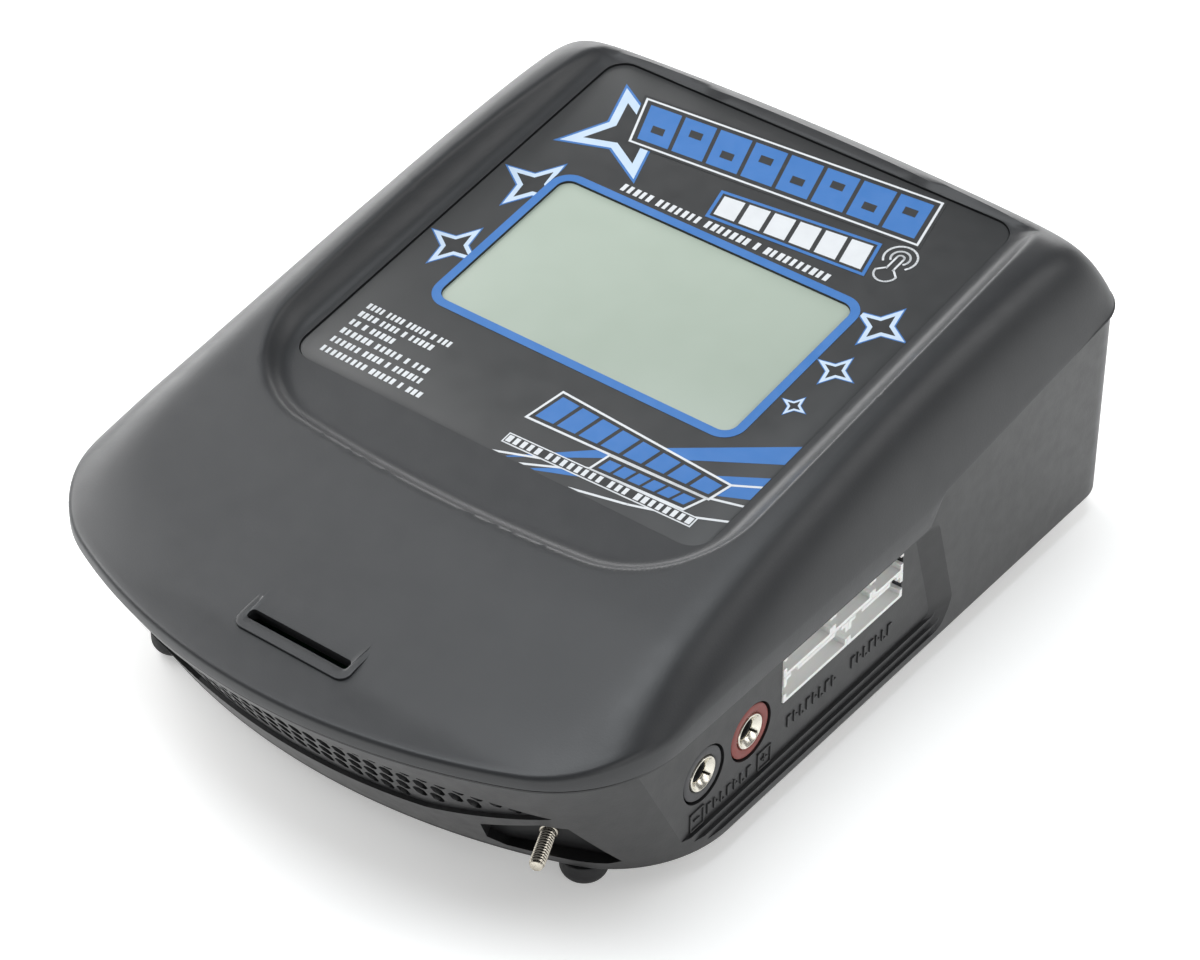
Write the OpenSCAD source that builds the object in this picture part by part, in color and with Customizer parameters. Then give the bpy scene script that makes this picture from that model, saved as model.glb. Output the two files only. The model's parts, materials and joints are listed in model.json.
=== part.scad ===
// Balance battery charger: low front dome, inclined touch panel, rear hood.
// Frame: +X right (socket side), -Y front, +Z up, origin at the centre of the feet plane.

/* [Case] */
// wall thickness of cover and floor
wall = 2.2; // [1.8:0.1:2.6]
// air grille hole width
grille_w = 2.2; // [1.6:0.1:2.4]
// foot diameter
foot_d = 9; // [7:0.5:9]
// free length of the front stud
stud_len = 10; // [6:1:12]

/* [Fan] */
// number of fan blades
fan_blades = 7; // [5:1:9]
// fan hub diameter
hub_d = 17; // [15:1:20]

/* [Inside] */
// main transformer height
tx_h = 21; // [16:1:23]
// electrolytic capacitor diameter
cap_d = 10; // [8:1:12]

/* [Hidden] */

hx = 67;            // rim half width
front_y = -90;
front_r = 28;       // front corner radius of the rim and its centre line
front_c = -53.5;
back_y = 90;
back_r = 8.5;
back_c = 79.2;
floor_z = 5;        // underside of the lower case
seam_z = 36;        // parting height at front and sides
side_x = 64.5;      // plane of the recessed right side panel
cav_x = 62.3;       // cavity half width
tilt = 7.55;        // slope of the touch panel
pan_y = 76;         // upper edge of the touch panel
pan_z = 63.4;
pan_w = 95.4;
pan_l = 100.9;
lcd_w = 69;
lcd_h = 40;
lcd_s = 34.2;       // from the panel's upper edge to the display's upper edge
jack_z = 21.9;
jack_y = [-44.4, -30.5];
sock_y = -21.2;     // front end of the socket block
sock_z = 22;
fan_x = -20;
fan_z = 28;
fan_y = 80;       // middle plane of the fan
slot_y = -76.5;
posts = [[-40, -48], [40, -48], [-57.5, 62], [57.5, 62]];
board_holes = [[-38, -36], [38, -36], [-38, 66], [38, 66]];

// ---------- outline ----------
function arc(cx, cy, r, a0, a1, n) =
  [for (i = [0:n]) [cx + r * cos(a0 + (a1 - a0) * i / n), cy + r * sin(a0 + (a1 - a0) * i / n)]];
function big_r(cx, k, r) = (cx * cx + k * k - r * r) / (2 * (k - r));
// half width w, front yf with corner rc centred at ycf, back yb with corner rb centred at ycb,
// sy lists extra points along the straight sides
function outline(w, yf, rc, ycf, yb, rb, ycb, sy = []) =
  let (fr = big_r(w - rc, ycf - yf, rc), br = big_r(w - rb, yb - ycb, rb),
       af = atan2(ycf - yf - fr, w - rc), ab = atan2(ycb - yb + br, w - rb))
  concat(arc(w - rc, ycf, rc, af, 0, 11), [for (y = sy) [w, y]], arc(w - rb, ycb, rb, 0, ab, 6),
    [for (i = [1:5]) [br * cos(ab + (180 - 2 * ab) * i / 6), yb - br + br * sin(ab + (180 - 2 * ab) * i / 6)]],
    arc(rb - w, ycb, rb, 180 - ab, 180, 6), [for (i = [len(sy) - 1:-1:0]) [-w, sy[i]]],
    arc(rc - w, ycf, rc, 180, 180 - af, 11),
    [for (i = [1:11]) let (a = 180 - af + (180 + 2 * af) * i / 12) [fr * cos(a), yf + fr + fr * sin(a)]]);

side_ys = [-46, -30, -14, 2, 20.3, 25.5, 40, 53, 66];
rim = outline(hx, front_y, front_r, front_c, back_y, back_r, back_c, side_ys);
function rim_in(d, sy = []) =
  outline(hx - d, front_y + d, front_r - d, front_c, back_y - d, back_r - d, back_c, sy);
function foot_line(d) = outline(66.3 - d, -72.8 + d, 26 - d, -39, 88.8 - d, 7.5 - d, 79.2);

// ---------- cover heights ----------
function ramp(t) = let (u = min(1, max(0, t))) u * u * (3 - 2 * u);
function crease(y) = 39 + 2.3 * ramp((y + 80) / 40) + 0.128 * max(0, y - 18);
function seam(y) = y < 20.5 ? seam_z : y < 25.5 ? seam_z + (crease(25.5) - 0.6 - seam_z) * (y - 20.5) / 5
  : crease(y) - 0.6;
// height along the middle line, with a flatter lip round the front slot
function ridge(y) = 65.6 - 26.6 * pow(max(0, 75 - y) / 165, 1.66)
  - 2.1 * ramp((y - front_y) / 13) * ramp((-44 - y) / 28);
function soft(a, b, c, k) = -k * ln(exp(-a / k) + exp(-b / k) + exp(-c / k));
function loaf(x, y) =
  let (fr = big_r(hx - front_r, front_c - front_y, front_r), br = big_r(hx - back_r, back_y - back_c, back_r),
       a = (hx - abs(x)) / 15, b = (fr - norm([x, y - front_y - fr])) / 19,
       c = (br - norm([x, y - back_y + br])) / 20, t = min(1, max(0, soft(a, b, c, 0.2))))
  crease(y) + (ridge(y) - crease(y)) * (1 - pow(1 - t, 3.5));
function panel_z(y) = pan_z + (y - pan_y) * tan(tilt);
function scoop(x, y) =
  let (dx = abs(x) - 48.6 + 16, yf = -36.5 + x * x / 600, dy = yf + 16 - y,
       d = max(0, norm([max(0, dx), max(0, dy)]) - 16), e = max(0, y - 76.4) * 2.5)
  panel_z(y) + (d * d + e * e) / 6.4;
function top_z(x, y) = let (h = loaf(x, y), s = scoop(x, y), k = 0.25) -k * ln(exp(-h / k) + exp(-s / k));

// ---------- frames ----------
module on_panel(s) {
  translate([0, pan_y, pan_z]) rotate([tilt, 0, 0]) translate([0, -s, 0]) children();
}
module round_slab(w, l, r, t) {
  linear_extrude(t) hull() for (x = [-1, 1], y = [-1, 1]) translate([x * (w / 2 - r), y * (l / 2 - r)])
    circle(r = r, $fn = 24);
}
module x_axis(x, y, z) {
  translate([x, y, z]) rotate([0, 90, 0]) children();
}

// ---------- upper cover ----------
// rings of the cover as fractions of the plan outline: outer surface inwards, inner surface outwards
outer_steps = [0.991, 0.982, 0.97, 0.955, 0.94, 0.92, 0.895, 0.865, 0.83, 0.79, 0.74, 0.68, 0.6, 0.5, 0.36, 0.15];
inner_steps = [0.1, 0.3, 0.5, 0.65, 0.75, 0.82, 0.88, 0.93, 0.965];
function ring(line, s, out, drop) =
  [for (p = line) [p[0] * s, p[1] * s, top_z(p[0] * s * out, p[1] * s * out) - drop]];
function shell_pts() =
  let (q = rim_in(wall + 0.2, side_ys))
  concat([for (p = rim) [p[0], p[1], seam(p[1]) + 0.15]], [for (p = rim) [p[0], p[1], crease(p[1])]],
    [for (s = outer_steps) each ring(rim, s, 1, 0)],
    [for (s = inner_steps) each ring(q, s, 1.02, wall + 0.4)],
    [for (p = q) [p[0], p[1], max(crease(p[1]) - 1.2, seam(p[1]) + 0.35)]],
    [for (p = q) [p[0], p[1], seam(p[1]) + 0.15]],
    [[0, 0, top_z(0, 0)], [0, 0, top_z(0, 0) - wall - 0.4]]);
module shell() {
  n = len(rim);
  a = len(outer_steps) + 2;
  b = len(inner_steps) + 2;
  strips = concat([for (k = [0:a - 2]) [k, k + 1]], [for (k = [a:a + b - 2]) [k, k + 1]], [[a + b - 1, 0]]);
  polyhedron(points = shell_pts(), convexity = 6, faces = concat(
    [for (s = strips) for (i = [0:n - 1]) let (j = (i + 1) % n)
      [s[0] * n + i, s[1] * n + i, s[1] * n + j]],
    [for (s = strips) for (i = [0:n - 1]) let (j = (i + 1) % n)
      [s[0] * n + i, s[1] * n + j, s[0] * n + j]],
    [for (i = [0:n - 1]) let (j = (i + 1) % n) [(a - 1) * n + i, (a + b) * n, (a - 1) * n + j]],
    [for (i = [0:n - 1]) let (j = (i + 1) % n) [a * n + i, a * n + j, (a + b) * n + 1]]));
}
function post_top(p) = min(top_z(p[0] + 3.5 * sign(p[0]), p[1]), top_z(p[0], p[1] - 3.5)) - 1.6;
// screw post; the rear pair ends in a slope that follows the side of the dome
module post(p) {
  if (p[1] < 0) translate([p[0], p[1], 14]) cylinder(r = 3.5, h = post_top(p) - 14, $fn = 32);
  else intersection() {
    translate([p[0], p[1], 14]) cylinder(r = 3.5, h = 60, $fn = 32);
    translate([p[0], p[1], top_z(p[0], p[1]) - 1.9]) rotate([0, 38 * sign(p[0]), 0])
      translate([-60, -60, -120]) cube([120, 120, 120]);
  }
}
module upper_cover() {
  color([0.16, 0.16, 0.17]) difference() {
    union() {
      shell();
      for (p = posts) post(p);
    }
    for (p = posts) translate([p[0], p[1], 10]) cylinder(r = 1.55, h = 20, $fn = 32);
    on_panel(pan_l / 2) translate([0, 0, -0.8]) round_slab(pan_w + 0.3, pan_l + 0.3, 4.6, 12);
    on_panel(lcd_s + lcd_h / 2) translate([0, 0, -6]) round_slab(lcd_w + 0.4, lcd_h + 0.4, 3, 12);
    translate([0, slot_y, 30]) round_slab(22.5, 2.6, 1.25, 20);
  }
}

// ---------- lower case ----------
module prism(line, z0, z1) {
  translate([0, 0, z0]) linear_extrude(z1 - z0) polygon(line);
}
module rear_wedge(x0) {
  translate([-x0, 0, 0]) rotate([90, 0, 90]) linear_extrude(2 * x0)
    polygon([[20.5, 30], [20.5, seam_z], [25.5, seam(25.6)], [95, seam(95)], [95, 30]]);
}
module front_plane() {
  translate([0, front_y + 0.7, seam_z]) rotate([116.9, 0, 0]) children();
}
// the grille droops towards its ends; heights are measured down the front plane
function grille_drop(x) = 0.0054 * x * x;
function grille_low(x) = -24.8 + 0.263 * max(0, abs(x) - 27);
module grille_ledge() {
  polygon(concat([for (x = [-50:5:50]) [x, -3.2 - grille_drop(x)]],
    [[52.5, -18], [27, grille_low(27)], [-27, grille_low(27)], [-52.5, -18]]));
}
module grille_holes() {
  for (r = [0:3], i = [-16:16]) {
    x = (i + (r % 2) / 2) * 3.05;
    y = -5.8 - 4.5 * r - grille_drop(x);
    if (y - 2.3 > grille_low(x)) translate([x, y])
      polygon([[-grille_w / 2, -1], [0, -2], [grille_w / 2, -1], [grille_w / 2, 1], [0, 2], [-grille_w / 2, 1]]);
  }
}
module case_body(d0, d1) {
  hull() {
    prism(foot_line(d0 + 0.8), floor_z + d1, floor_z + d1 + 0.1);
    prism(foot_line(d0), floor_z + d1 + 0.9, floor_z + d1 + 1);
    prism(rim_in(0.7 + d0), seam_z - 0.1, seam_z);
  }
}
// opens the right side out from plane x, from height z up to a narrow strip under the seam;
// its rear wall leans back and opens outwards from y_end at its foot
module side_inset(x, z, y_end) {
  top = seam_z - 1.1;
  translate([0, y_end, z]) multmatrix([[1, 0, 0, 0], [0, 1, -0.29, 0], [0, 0, 1, 0]]) linear_extrude(top - z)
    polygon([[x, -76 - y_end], [x, 0], [80, 2.95 * (80 - x)], [80, -76 - y_end]]);
}
// recess that follows the front wall at depth d behind it
module front_recess(d) {
  difference() {
    children();
    case_body(d, 0);
  }
}
module lower_case() {
  color([0.2, 0.2, 0.21]) difference() {
    union() {
      difference() {
        union() {
          case_body(0, 0);
          intersection() {
            prism(rim_in(0.7), seam_z - 1, 60);
            rear_wedge(80);
          }
        }
        hull() {
          prism(foot_line(4), floor_z + wall, floor_z + wall + 0.1);
          prism(rim_in(4.7), seam_z - 0.1, seam_z + 0.1);
        }
        prism(rim_in(4.7), seam_z, 70);
      }
      // pocket walls behind the corner recesses
      intersection() {
        case_body(0, 0);
        for (m = [-1, 1]) scale([m, 1, 1]) translate([45.4, -61.4, 5.5]) rotate([0, 0, 24])
          translate([-14, -12, 0]) cube([30, 16, 21.5]);
      }
      for (p = board_holes) translate([p[0], p[1], 6]) cylinder(r = 3.4, h = 5.95, $fn = 32);
      for (p = posts) translate([p[0], p[1], 6]) cylinder(r = 5, h = 7.9, $fn = 32);
    }
    // recessed right side panel with a slanted rear end and a stepped sill
    side_inset(side_x, 10.2, 26.6);
    side_inset(side_x + 0.7, 8.6, 28.6);
    side_inset(side_x + 1.3, 7.2, 30);
    // openings in the side panel
    translate([cav_x - 2, sock_y - 0.1, sock_z - 0.1]) cube([10, 37.5, 12.4]);
    for (y = jack_y) x_axis(cav_x - 2, y, jack_z) cylinder(r = 5.75, h = 10, $fn = 48);
    // air grille in the undercut front, set back one millimetre
    front_recess(1) front_plane() translate([0, 0, -16]) linear_extrude(22) grille_ledge();
    front_plane() translate([0, 0, -19]) linear_extrude(26) grille_holes();
    // corner recesses
    for (m = [-1, 1]) scale([m, 1, 1]) translate([45.4, -61.4, 8]) rotate([0, 0, 24])
      translate([0, -1.2, 0]) rotate([90, 0, 0]) linear_extrude(22)
        polygon([[-12, 1.2], [-8.5, -0.4], [10, -0.4], [12.4, 0.4], [9.2, 5.5], [4.6, 13.2], [-0.5, 13.2], [-12.2, 7.2]]);
    translate([44.7, -62.8, 11]) rotate([90, 0, 24]) cylinder(r = 1.4, h = 30, center = true, $fn = 32);
    // foot sockets
    for (x = [-49.2, 49.2], y = [-58.8, 70]) translate([x, y, floor_z - 1]) cylinder(d = 5, h = 2, $fn = 32);
    // screw holes
    for (p = board_holes) translate([p[0], p[1], 7]) cylinder(r = 1.55, h = 8, $fn = 32);
    for (p = posts) translate([p[0], p[1], 0]) {
      cylinder(r = 1.6, h = 20, $fn = 32);
      translate([0, 0, 3]) cylinder(r = 3, h = 4.2, $fn = 32);
    }
    // fan guard, fan screw holes and inlets in the back wall
    difference() {
      for (r = [5.5, 10, 14.5]) translate([fan_x, 95, fan_z]) rotate([90, 0, 0]) difference() {
        cylinder(r = r + 2.8, h = 12, $fn = 48);
        translate([0, 0, -1]) cylinder(r = r, h = 14, $fn = 48);
      }
      for (a = [0, 90]) translate([fan_x, 90, fan_z]) rotate([0, a + 45, 0]) cube([2.4, 30, 60], center = true);
    }
    for (x = [-16, 16], z = [-16, 16]) translate([fan_x + x, 95, fan_z + z]) rotate([90, 0, 0]) {
      cylinder(r = 1.6, h = 12, $fn = 32);
      cylinder(r = 3.05, h = 8.4, $fn = 32);
    }
    translate([18, 80, 19]) cube([20.4, 12, 14.4]);
    translate([50, 95, 26]) rotate([90, 0, 0]) cylinder(r = 5.1, h = 12, $fn = 48);
  }
}

// ---------- touch panel and display ----------
module touch_panel() {
  color([0.03, 0.03, 0.035]) difference() {
    on_panel(pan_l / 2) translate([0, 0, -0.78]) round_slab(pan_w, pan_l, 4.5, 0.76);
    on_panel(lcd_s + lcd_h / 2) translate([0, 0, -3]) round_slab(lcd_w, lcd_h, 2.8, 6);
  }
}
module lcd_screen() {
  color([0.74, 0.78, 0.73]) on_panel(lcd_s + lcd_h / 2) translate([0, 0, -3.36])
    round_slab(lcd_w - 0.1, lcd_h - 0.1, 2.7, 3.3);
}
module lcd_module() {
  color([0.35, 0.36, 0.37]) on_panel(lcd_s + lcd_h / 2) difference() {
    translate([-39, -25, -8.6]) cube([78, 50, 5.2]);
    translate([-33, -18.5, -7]) cube([66, 37, 10]);
  }
}
module touch_board() {
  color([0.05, 0.3, 0.14]) on_panel(lcd_s + lcd_h / 2) {
    translate([-41, -32, -10.4]) cube([82, 64, 1.6]);
    for (x = [-30, -18, -6]) translate([x, -29, -8.7]) cube([6, 2, 1.6]);
  }
}
module display_ribbon() {
  color([0.85, 0.85, 0.82]) rotate([90, 0, 90]) linear_extrude(20, center = true)
    polygon([[50, 13.7], [50.7, 13.7], [50.7, 49.1], [50, 49.1]]);
}
module status_light_bar() {
  color([0.5, 0.52, 0.55]) translate([0, slot_y, 34.1]) round_slab(26, 5, 1.5, 2.8);
}
module status_board() {
  color([0.05, 0.3, 0.14]) translate([-16, -79.5, 32.4]) cube([32, 9, 1.6]);
}

// ---------- side connectors ----------
module collar(y) {
  x_axis(side_x - 6, y, jack_z) difference() {
    union() {
      cylinder(r = 5.6, h = 6.4, $fn = 64);
      cylinder(r = 6.8, h = 2.6, $fn = 64);
    }
    translate([0, 0, -1]) cylinder(r = 3.6, h = 12, $fn = 64);
  }
}
module collar_negative() {
  color([0.13, 0.13, 0.14]) collar(jack_y[0]);
}
module collar_positive() {
  color([0.5, 0.12, 0.09]) collar(jack_y[1]);
}
module sleeve(y) {
  x_axis(side_x - 20, y, jack_z) difference() {
    cylinder(r = 3.55, h = 20.5, $fn = 64);
    translate([0, 0, 3]) cylinder(r = 2, h = 30, $fn = 64);
    translate([0, 0, 18.4]) cylinder(r1 = 2, r2 = 3.3, h = 2.2, $fn = 64);
  }
}
module sleeve_negative() {
  color([0.8, 0.78, 0.72]) sleeve(jack_y[0]);
}
module sleeve_positive() {
  color([0.8, 0.78, 0.72]) sleeve(jack_y[1]);
}
// shrouded header: n pins, front end at y, lower face at z
module header(n, y, z) {
  l = 2.5 * (n - 1) + 4.9;
  color([0.93, 0.93, 0.9]) translate([side_x - 8.5, y, z]) difference() {
    cube([8.8, l - 0.05, 6.05]);
    translate([2.4, 0.9, 0.85]) cube([10, l - 1.85, 4.35]);
    for (s = [2.2, l - 4.2]) translate([4.4, s, 3]) cube([10, 2, 5]);
    translate([6.4, -1, 2]) cube([10, l + 2, 1.8]);
    for (i = [0:n - 1]) translate([-1, 2.45 + 2.5 * i - 0.4, 2.6]) cube([10, 0.8, 0.8]);
  }
}
module socket_7pin() {
  header(7, sock_y, sock_z);
}
module socket_6pin() {
  header(6, sock_y + 19.9, sock_z);
}
module socket_5pin() {
  header(5, sock_y, sock_z + 6.1);
}
module socket_4pin() {
  header(4, sock_y + 14.9, sock_z + 6.1);
}
module socket_3pin() {
  header(3, sock_y + 27.3, sock_z + 6.1);
}
module pin_row(n, y, z) {
  for (i = [0:n - 1]) translate([side_x - 12, y + 2.45 + 2.5 * i - 0.32, z + 2.68]) cube([7.7, 0.64, 0.64]);
}
module balance_pins() {
  color([0.85, 0.83, 0.76]) {
    pin_row(7, sock_y, sock_z);
    pin_row(6, sock_y + 19.9, sock_z);
    pin_row(5, sock_y, sock_z + 6.1);
    pin_row(4, sock_y + 14.9, sock_z + 6.1);
    pin_row(3, sock_y + 27.3, sock_z + 6.1);
  }
}
module balance_board() {
  color([0.05, 0.3, 0.14]) difference() {
    translate([54.2, -24, 14]) cube([1.6, 44, 25]);
    pin_slots(7, sock_y, sock_z);
    pin_slots(6, sock_y + 19.9, sock_z);
    pin_slots(5, sock_y, sock_z + 6.1);
    pin_slots(4, sock_y + 14.9, sock_z + 6.1);
    pin_slots(3, sock_y + 27.3, sock_z + 6.1);
  }
}
module pin_slots(n, y, z) {
  for (i = [0:n - 1]) translate([50, y + 2.45 + 2.5 * i - 0.4, z + 2.6]) cube([10, 0.8, 0.8]);
}

// ---------- front stud ----------
module stud_axis() {
  translate([44.7, -62.8, 11]) rotate([90, 0, 24]) children();
}
module front_stud() {
  color([0.82, 0.8, 0.75]) stud_axis() {
    translate([0, 0, -8.4]) cylinder(r = 1.35, h = 9, $fn = 48);
    translate([0, 0, 0.22]) cylinder(r = 1.7, h = 0.53, $fn = 48);
    translate([0, 0, 0.7]) cylinder(r = 1.5, h = stud_len - 1.5, $fn = 48);
    translate([0, 0, stud_len - 0.8]) cylinder(r1 = 1.5, r2 = 1.1, h = 0.5, $fn = 48);
  }
}
module stud_nut() {
  color([0.8, 0.79, 0.75]) stud_axis() translate([0, 0, -7.9]) difference() {
    cylinder(r = 3.1, h = 2.4, $fn = 6);
    translate([0, 0, -1]) cylinder(r = 1.4, h = 5, $fn = 48);
  }
}

// ---------- feet and screws ----------
module feet() {
  color([0.08, 0.08, 0.08]) for (x = [-49.2, 49.2], y = [-58.8, 70]) translate([x, y, 0]) {
    rotate_extrude($fn = 48) polygon(concat([[0, 0]], [for (a = [0:10:90])
      [foot_d / 2 - 2.6 + 2.6 * sin(a), 2.6 - 2.6 * cos(a)]],
      [[foot_d / 2, floor_z - 0.02], [2.4, floor_z - 0.02], [2.4, floor_z + 0.9], [0, floor_z + 0.9]]));
  }
}
module case_screws() {
  color([0.5, 0.5, 0.52]) for (p = posts) translate([p[0], p[1], 5.4]) difference() {
    union() {
      cylinder(r = 2.7, h = 1.7, $fn = 32);
      cylinder(r = 1.5, h = 18, $fn = 32);
    }
    translate([0, 0, -1]) cylinder(r = 1.2, h = 2, $fn = 6);
  }
}

// ---------- inside ----------
module main_board() {
  color([0.05, 0.3, 0.14]) {
    difference() {
      translate([-44, -42, 12]) cube([88, 114, 1.6]);
      for (p = board_holes) translate([p[0], p[1], 10]) cylinder(r = 1.6, h = 6, $fn = 32);
    }
  }
}
module board_screws() {
  color([0.7, 0.7, 0.72]) for (p = board_holes) translate([p[0], p[1], 7.3]) {
    cylinder(r = 1.5, h = 7, $fn = 32);
    translate([0, 0, 6.4]) cylinder(r = 2.8, h = 1.8, $fn = 32);
  }
}
module transformer() {
  color([0.25, 0.22, 0.16]) translate([-40, 20, 13.7]) {
    difference() {
      cube([28, 24, tx_h]);
      translate([-1, 5, 5]) cube([30, 14, tx_h - 10]);
    }
    translate([7, 3.5, 5.1]) cube([14, 17, tx_h - 10.2]);
  }
}
module inductor() {
  color([0.55, 0.3, 0.12]) translate([-28, -6, 13.7]) {
    difference() {
      cylinder(r = 11, h = 10, $fn = 64);
      translate([0, 0, -1]) cylinder(r = 5, h = 12, $fn = 64);
    }
  }
}
module capacitors() {
  color([0.12, 0.13, 0.2]) for (p = [[22, 48], [22, 34], [36, 48], [-8, -24]])
    translate([p[0], p[1], 13.7]) cylinder(d = cap_d, h = 18, $fn = 48);
}
module heat_sink() {
  color([0.72, 0.73, 0.75]) {
    translate([-6, -8, 13.7]) cube([42, 3, 24]);
    for (i = [0:6]) translate([-6 + i * 6.75, -5.1, 13.7]) cube([1.5, 14, 24]);
  }
}
module power_transistors() {
  color([0.07, 0.07, 0.075]) for (x = [-2, 12, 26]) translate([x, -12.7, 16]) cube([10, 4.5, 15]);
}
module buzzer() {
  color([0.06, 0.06, 0.065]) translate([-26, -30, 13.7]) difference() {
    cylinder(r = 6, h = 9, $fn = 48);
    translate([0, 0, 8]) cylinder(r = 1, h = 2, $fn = 24);
  }
}
module input_fuse() {
  color([0.85, 0.84, 0.78]) translate([26, 62, 17]) rotate([0, 90, 0]) cylinder(r = 2.6, h = 20, center = true, $fn = 32);
}

// ---------- fan ----------
module y_axis() {
  translate([fan_x, fan_y, fan_z]) rotate([90, 0, 0]) children();
}
module fan_frame() {
  color([0.06, 0.06, 0.065]) y_axis() difference() {
    union() {
      difference() {
        translate([-20, -20, -3.6]) cube([40, 40, 10]);
        translate([0, 0, -10]) cylinder(r = 19, h = 30, $fn = 96);
      }
      translate([0, 0, 4.6]) cylinder(r = 8.8, h = 1.8, $fn = 64);
      for (a = [45:90:315]) rotate([0, 0, a]) translate([8, -1.2, 4.6]) cube([12, 2.4, 1.8]);
    }
    for (x = [-16, 16], y = [-16, 16]) translate([x, y, -10]) cylinder(r = 1.7, h = 30, $fn = 32);
    translate([0, 0, 4]) cylinder(r = 1.05, h = 5, $fn = 48);
  }
}
module fan_rotor() {
  color([0.09, 0.09, 0.1]) y_axis() {
    translate([0, 0, -3]) cylinder(d = hub_d, h = 7, $fn = 64);
    translate([0, 0, 3.9]) cylinder(r = 1, h = 2.3, $fn = 48);
    for (i = [0:fan_blades - 1]) rotate([0, 0, i * 360 / fan_blades])
      translate([hub_d / 2 - 1, 0, 0.4]) rotate([38, 0, 0]) translate([0, -3.4, -0.55])
        cube([18.2 - hub_d / 2 + 1, 6.8, 1.1]);
  }
}
module fan_screws() {
  color([0.6, 0.6, 0.62]) for (x = [-16, 16], z = [-16, 16])
    translate([fan_x + x, 88.2, fan_z + z]) rotate([90, 0, 0]) difference() {
      union() {
        cylinder(r = 1.5, h = 12, $fn = 32);
        cylinder(r = 2.8, h = 1.55, $fn = 32);
      }
      translate([0, 0, -1]) cylinder(r = 1.2, h = 1.9, $fn = 6);
    }
}

// ---------- inlets on the back ----------
module mains_inlet() {
  color([0.05, 0.05, 0.055]) translate([18.2, 68, 19.2]) difference() {
    cube([20, 21.2, 14]);
    translate([10, 24, 7]) rotate([90, 0, 0]) linear_extrude(15) hull() for (x = [-3.3, 3.3])
      translate([x, 0]) circle(r = 3.7, $fn = 48);
  }
}
module mains_pins() {
  color([0.8, 0.78, 0.72]) for (x = [-3.3, 3.3]) translate([28.2 + x, 86, 26.2]) rotate([90, 0, 0])
    cylinder(r = 1.15, h = 9, $fn = 32);
}
module dc_inlet() {
  color([0.05, 0.05, 0.055]) translate([50, 88.6, 26]) rotate([90, 0, 0]) difference() {
    cylinder(r = 5, h = 14, $fn = 64);
    translate([0, 0, -1]) cylinder(r = 2.9, h = 10, $fn = 64);
  }
}
module dc_pin() {
  color([0.8, 0.78, 0.72]) translate([50, 87.6, 26]) rotate([90, 0, 0]) cylinder(r = 1, h = 8, $fn = 48);
}

upper_cover();
lower_case();
touch_panel();
lcd_screen();
lcd_module();
touch_board();
display_ribbon();
status_light_bar();
status_board();
collar_negative();
collar_positive();
sleeve_negative();
sleeve_positive();
socket_7pin();
socket_6pin();
socket_5pin();
socket_4pin();
socket_3pin();
balance_pins();
balance_board();
front_stud();
stud_nut();
feet();
case_screws();
main_board();
board_screws();
transformer();
inductor();
capacitors();
heat_sink();
power_transistors();
buzzer();
input_fuse();
fan_frame();
fan_rotor();
fan_screws();
mains_inlet();
mains_pins();
dc_inlet();
dc_pin();
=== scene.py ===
"""Looks of a balance battery charger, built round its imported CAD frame.

Lengths are in millimetres in the CAD frame (+X the socket side, -Y the front, +Z up) until a mesh is made.
"""

import json
import math
import random

import bmesh
import bpy
from mathutils import Matrix, Vector


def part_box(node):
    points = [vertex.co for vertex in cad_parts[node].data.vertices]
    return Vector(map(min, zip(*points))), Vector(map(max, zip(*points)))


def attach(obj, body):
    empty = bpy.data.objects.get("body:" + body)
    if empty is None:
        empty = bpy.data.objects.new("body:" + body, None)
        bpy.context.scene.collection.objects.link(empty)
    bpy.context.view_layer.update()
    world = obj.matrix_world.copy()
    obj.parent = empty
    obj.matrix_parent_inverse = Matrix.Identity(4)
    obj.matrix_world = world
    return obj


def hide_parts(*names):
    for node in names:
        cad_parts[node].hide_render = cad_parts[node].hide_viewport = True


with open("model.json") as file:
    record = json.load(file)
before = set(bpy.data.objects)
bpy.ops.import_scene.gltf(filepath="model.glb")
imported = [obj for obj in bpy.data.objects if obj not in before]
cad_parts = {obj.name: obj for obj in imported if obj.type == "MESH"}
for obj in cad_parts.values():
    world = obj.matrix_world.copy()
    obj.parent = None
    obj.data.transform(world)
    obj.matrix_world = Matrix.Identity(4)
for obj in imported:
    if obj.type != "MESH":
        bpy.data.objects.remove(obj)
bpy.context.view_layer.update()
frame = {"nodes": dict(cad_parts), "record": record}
MM = 0.001


# ---------- places taken from the frame ----------
def box_mm(node):
    lo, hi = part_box(node)
    return lo / MM, hi / MM


def centre_mm(node):
    lo, hi = box_mm(node)
    return (lo + hi) / 2


COVER_LO, COVER_HI = box_mm("upper_cover")
CASE_LO, CASE_HI = box_mm("lower_case")
HALF = COVER_HI.x  # half width of the rim
FRONT, BACK = COVER_LO.y, COVER_HI.y
FLOOR_Z = CASE_LO.z  # underside of the case
SEAM_Z = 36.0  # parting height at the front and sides
LIP = HALF - CASE_HI.x  # how far the cover stands out over the case
WALL = 2.6
PANEL_TILT = math.radians(7.55)
PANEL_TOP = (76.0, 63.4)  # y and z of the touch panel's upper edge
PANEL_W, PANEL_L = 95.4, 100.9
PANEL_DEPTH = 0.3  # how deep the touch panel lies in the cover
LCD_W, LCD_H, LCD_S = 69.0, 40.0, 34.2
SLOT_Y, SLOT_L, SLOT_W = -76.5, 23.1, 2.1
SIDE_X = box_mm("socket_7pin")[1].x - 0.3  # plane of the recessed side panel
JACK_Z = centre_mm("collar_positive").z
JACKS = {"negative": centre_mm("collar_negative").y, "positive": centre_mm("collar_positive").y}
FAN_AT = Vector((centre_mm("fan_frame").x, centre_mm("fan_rotor").y, centre_mm("fan_frame").z))
POSTS = [(-40, -48), (40, -48), (-57.5, 62), (57.5, 62)]
FEET = [(-49.2, -58.8), (49.2, -58.8), (-49.2, 70), (49.2, 70)]
STUD_AT, STUD_TURN = Vector((44.7, -62.8, 11)), math.radians(24)

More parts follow.
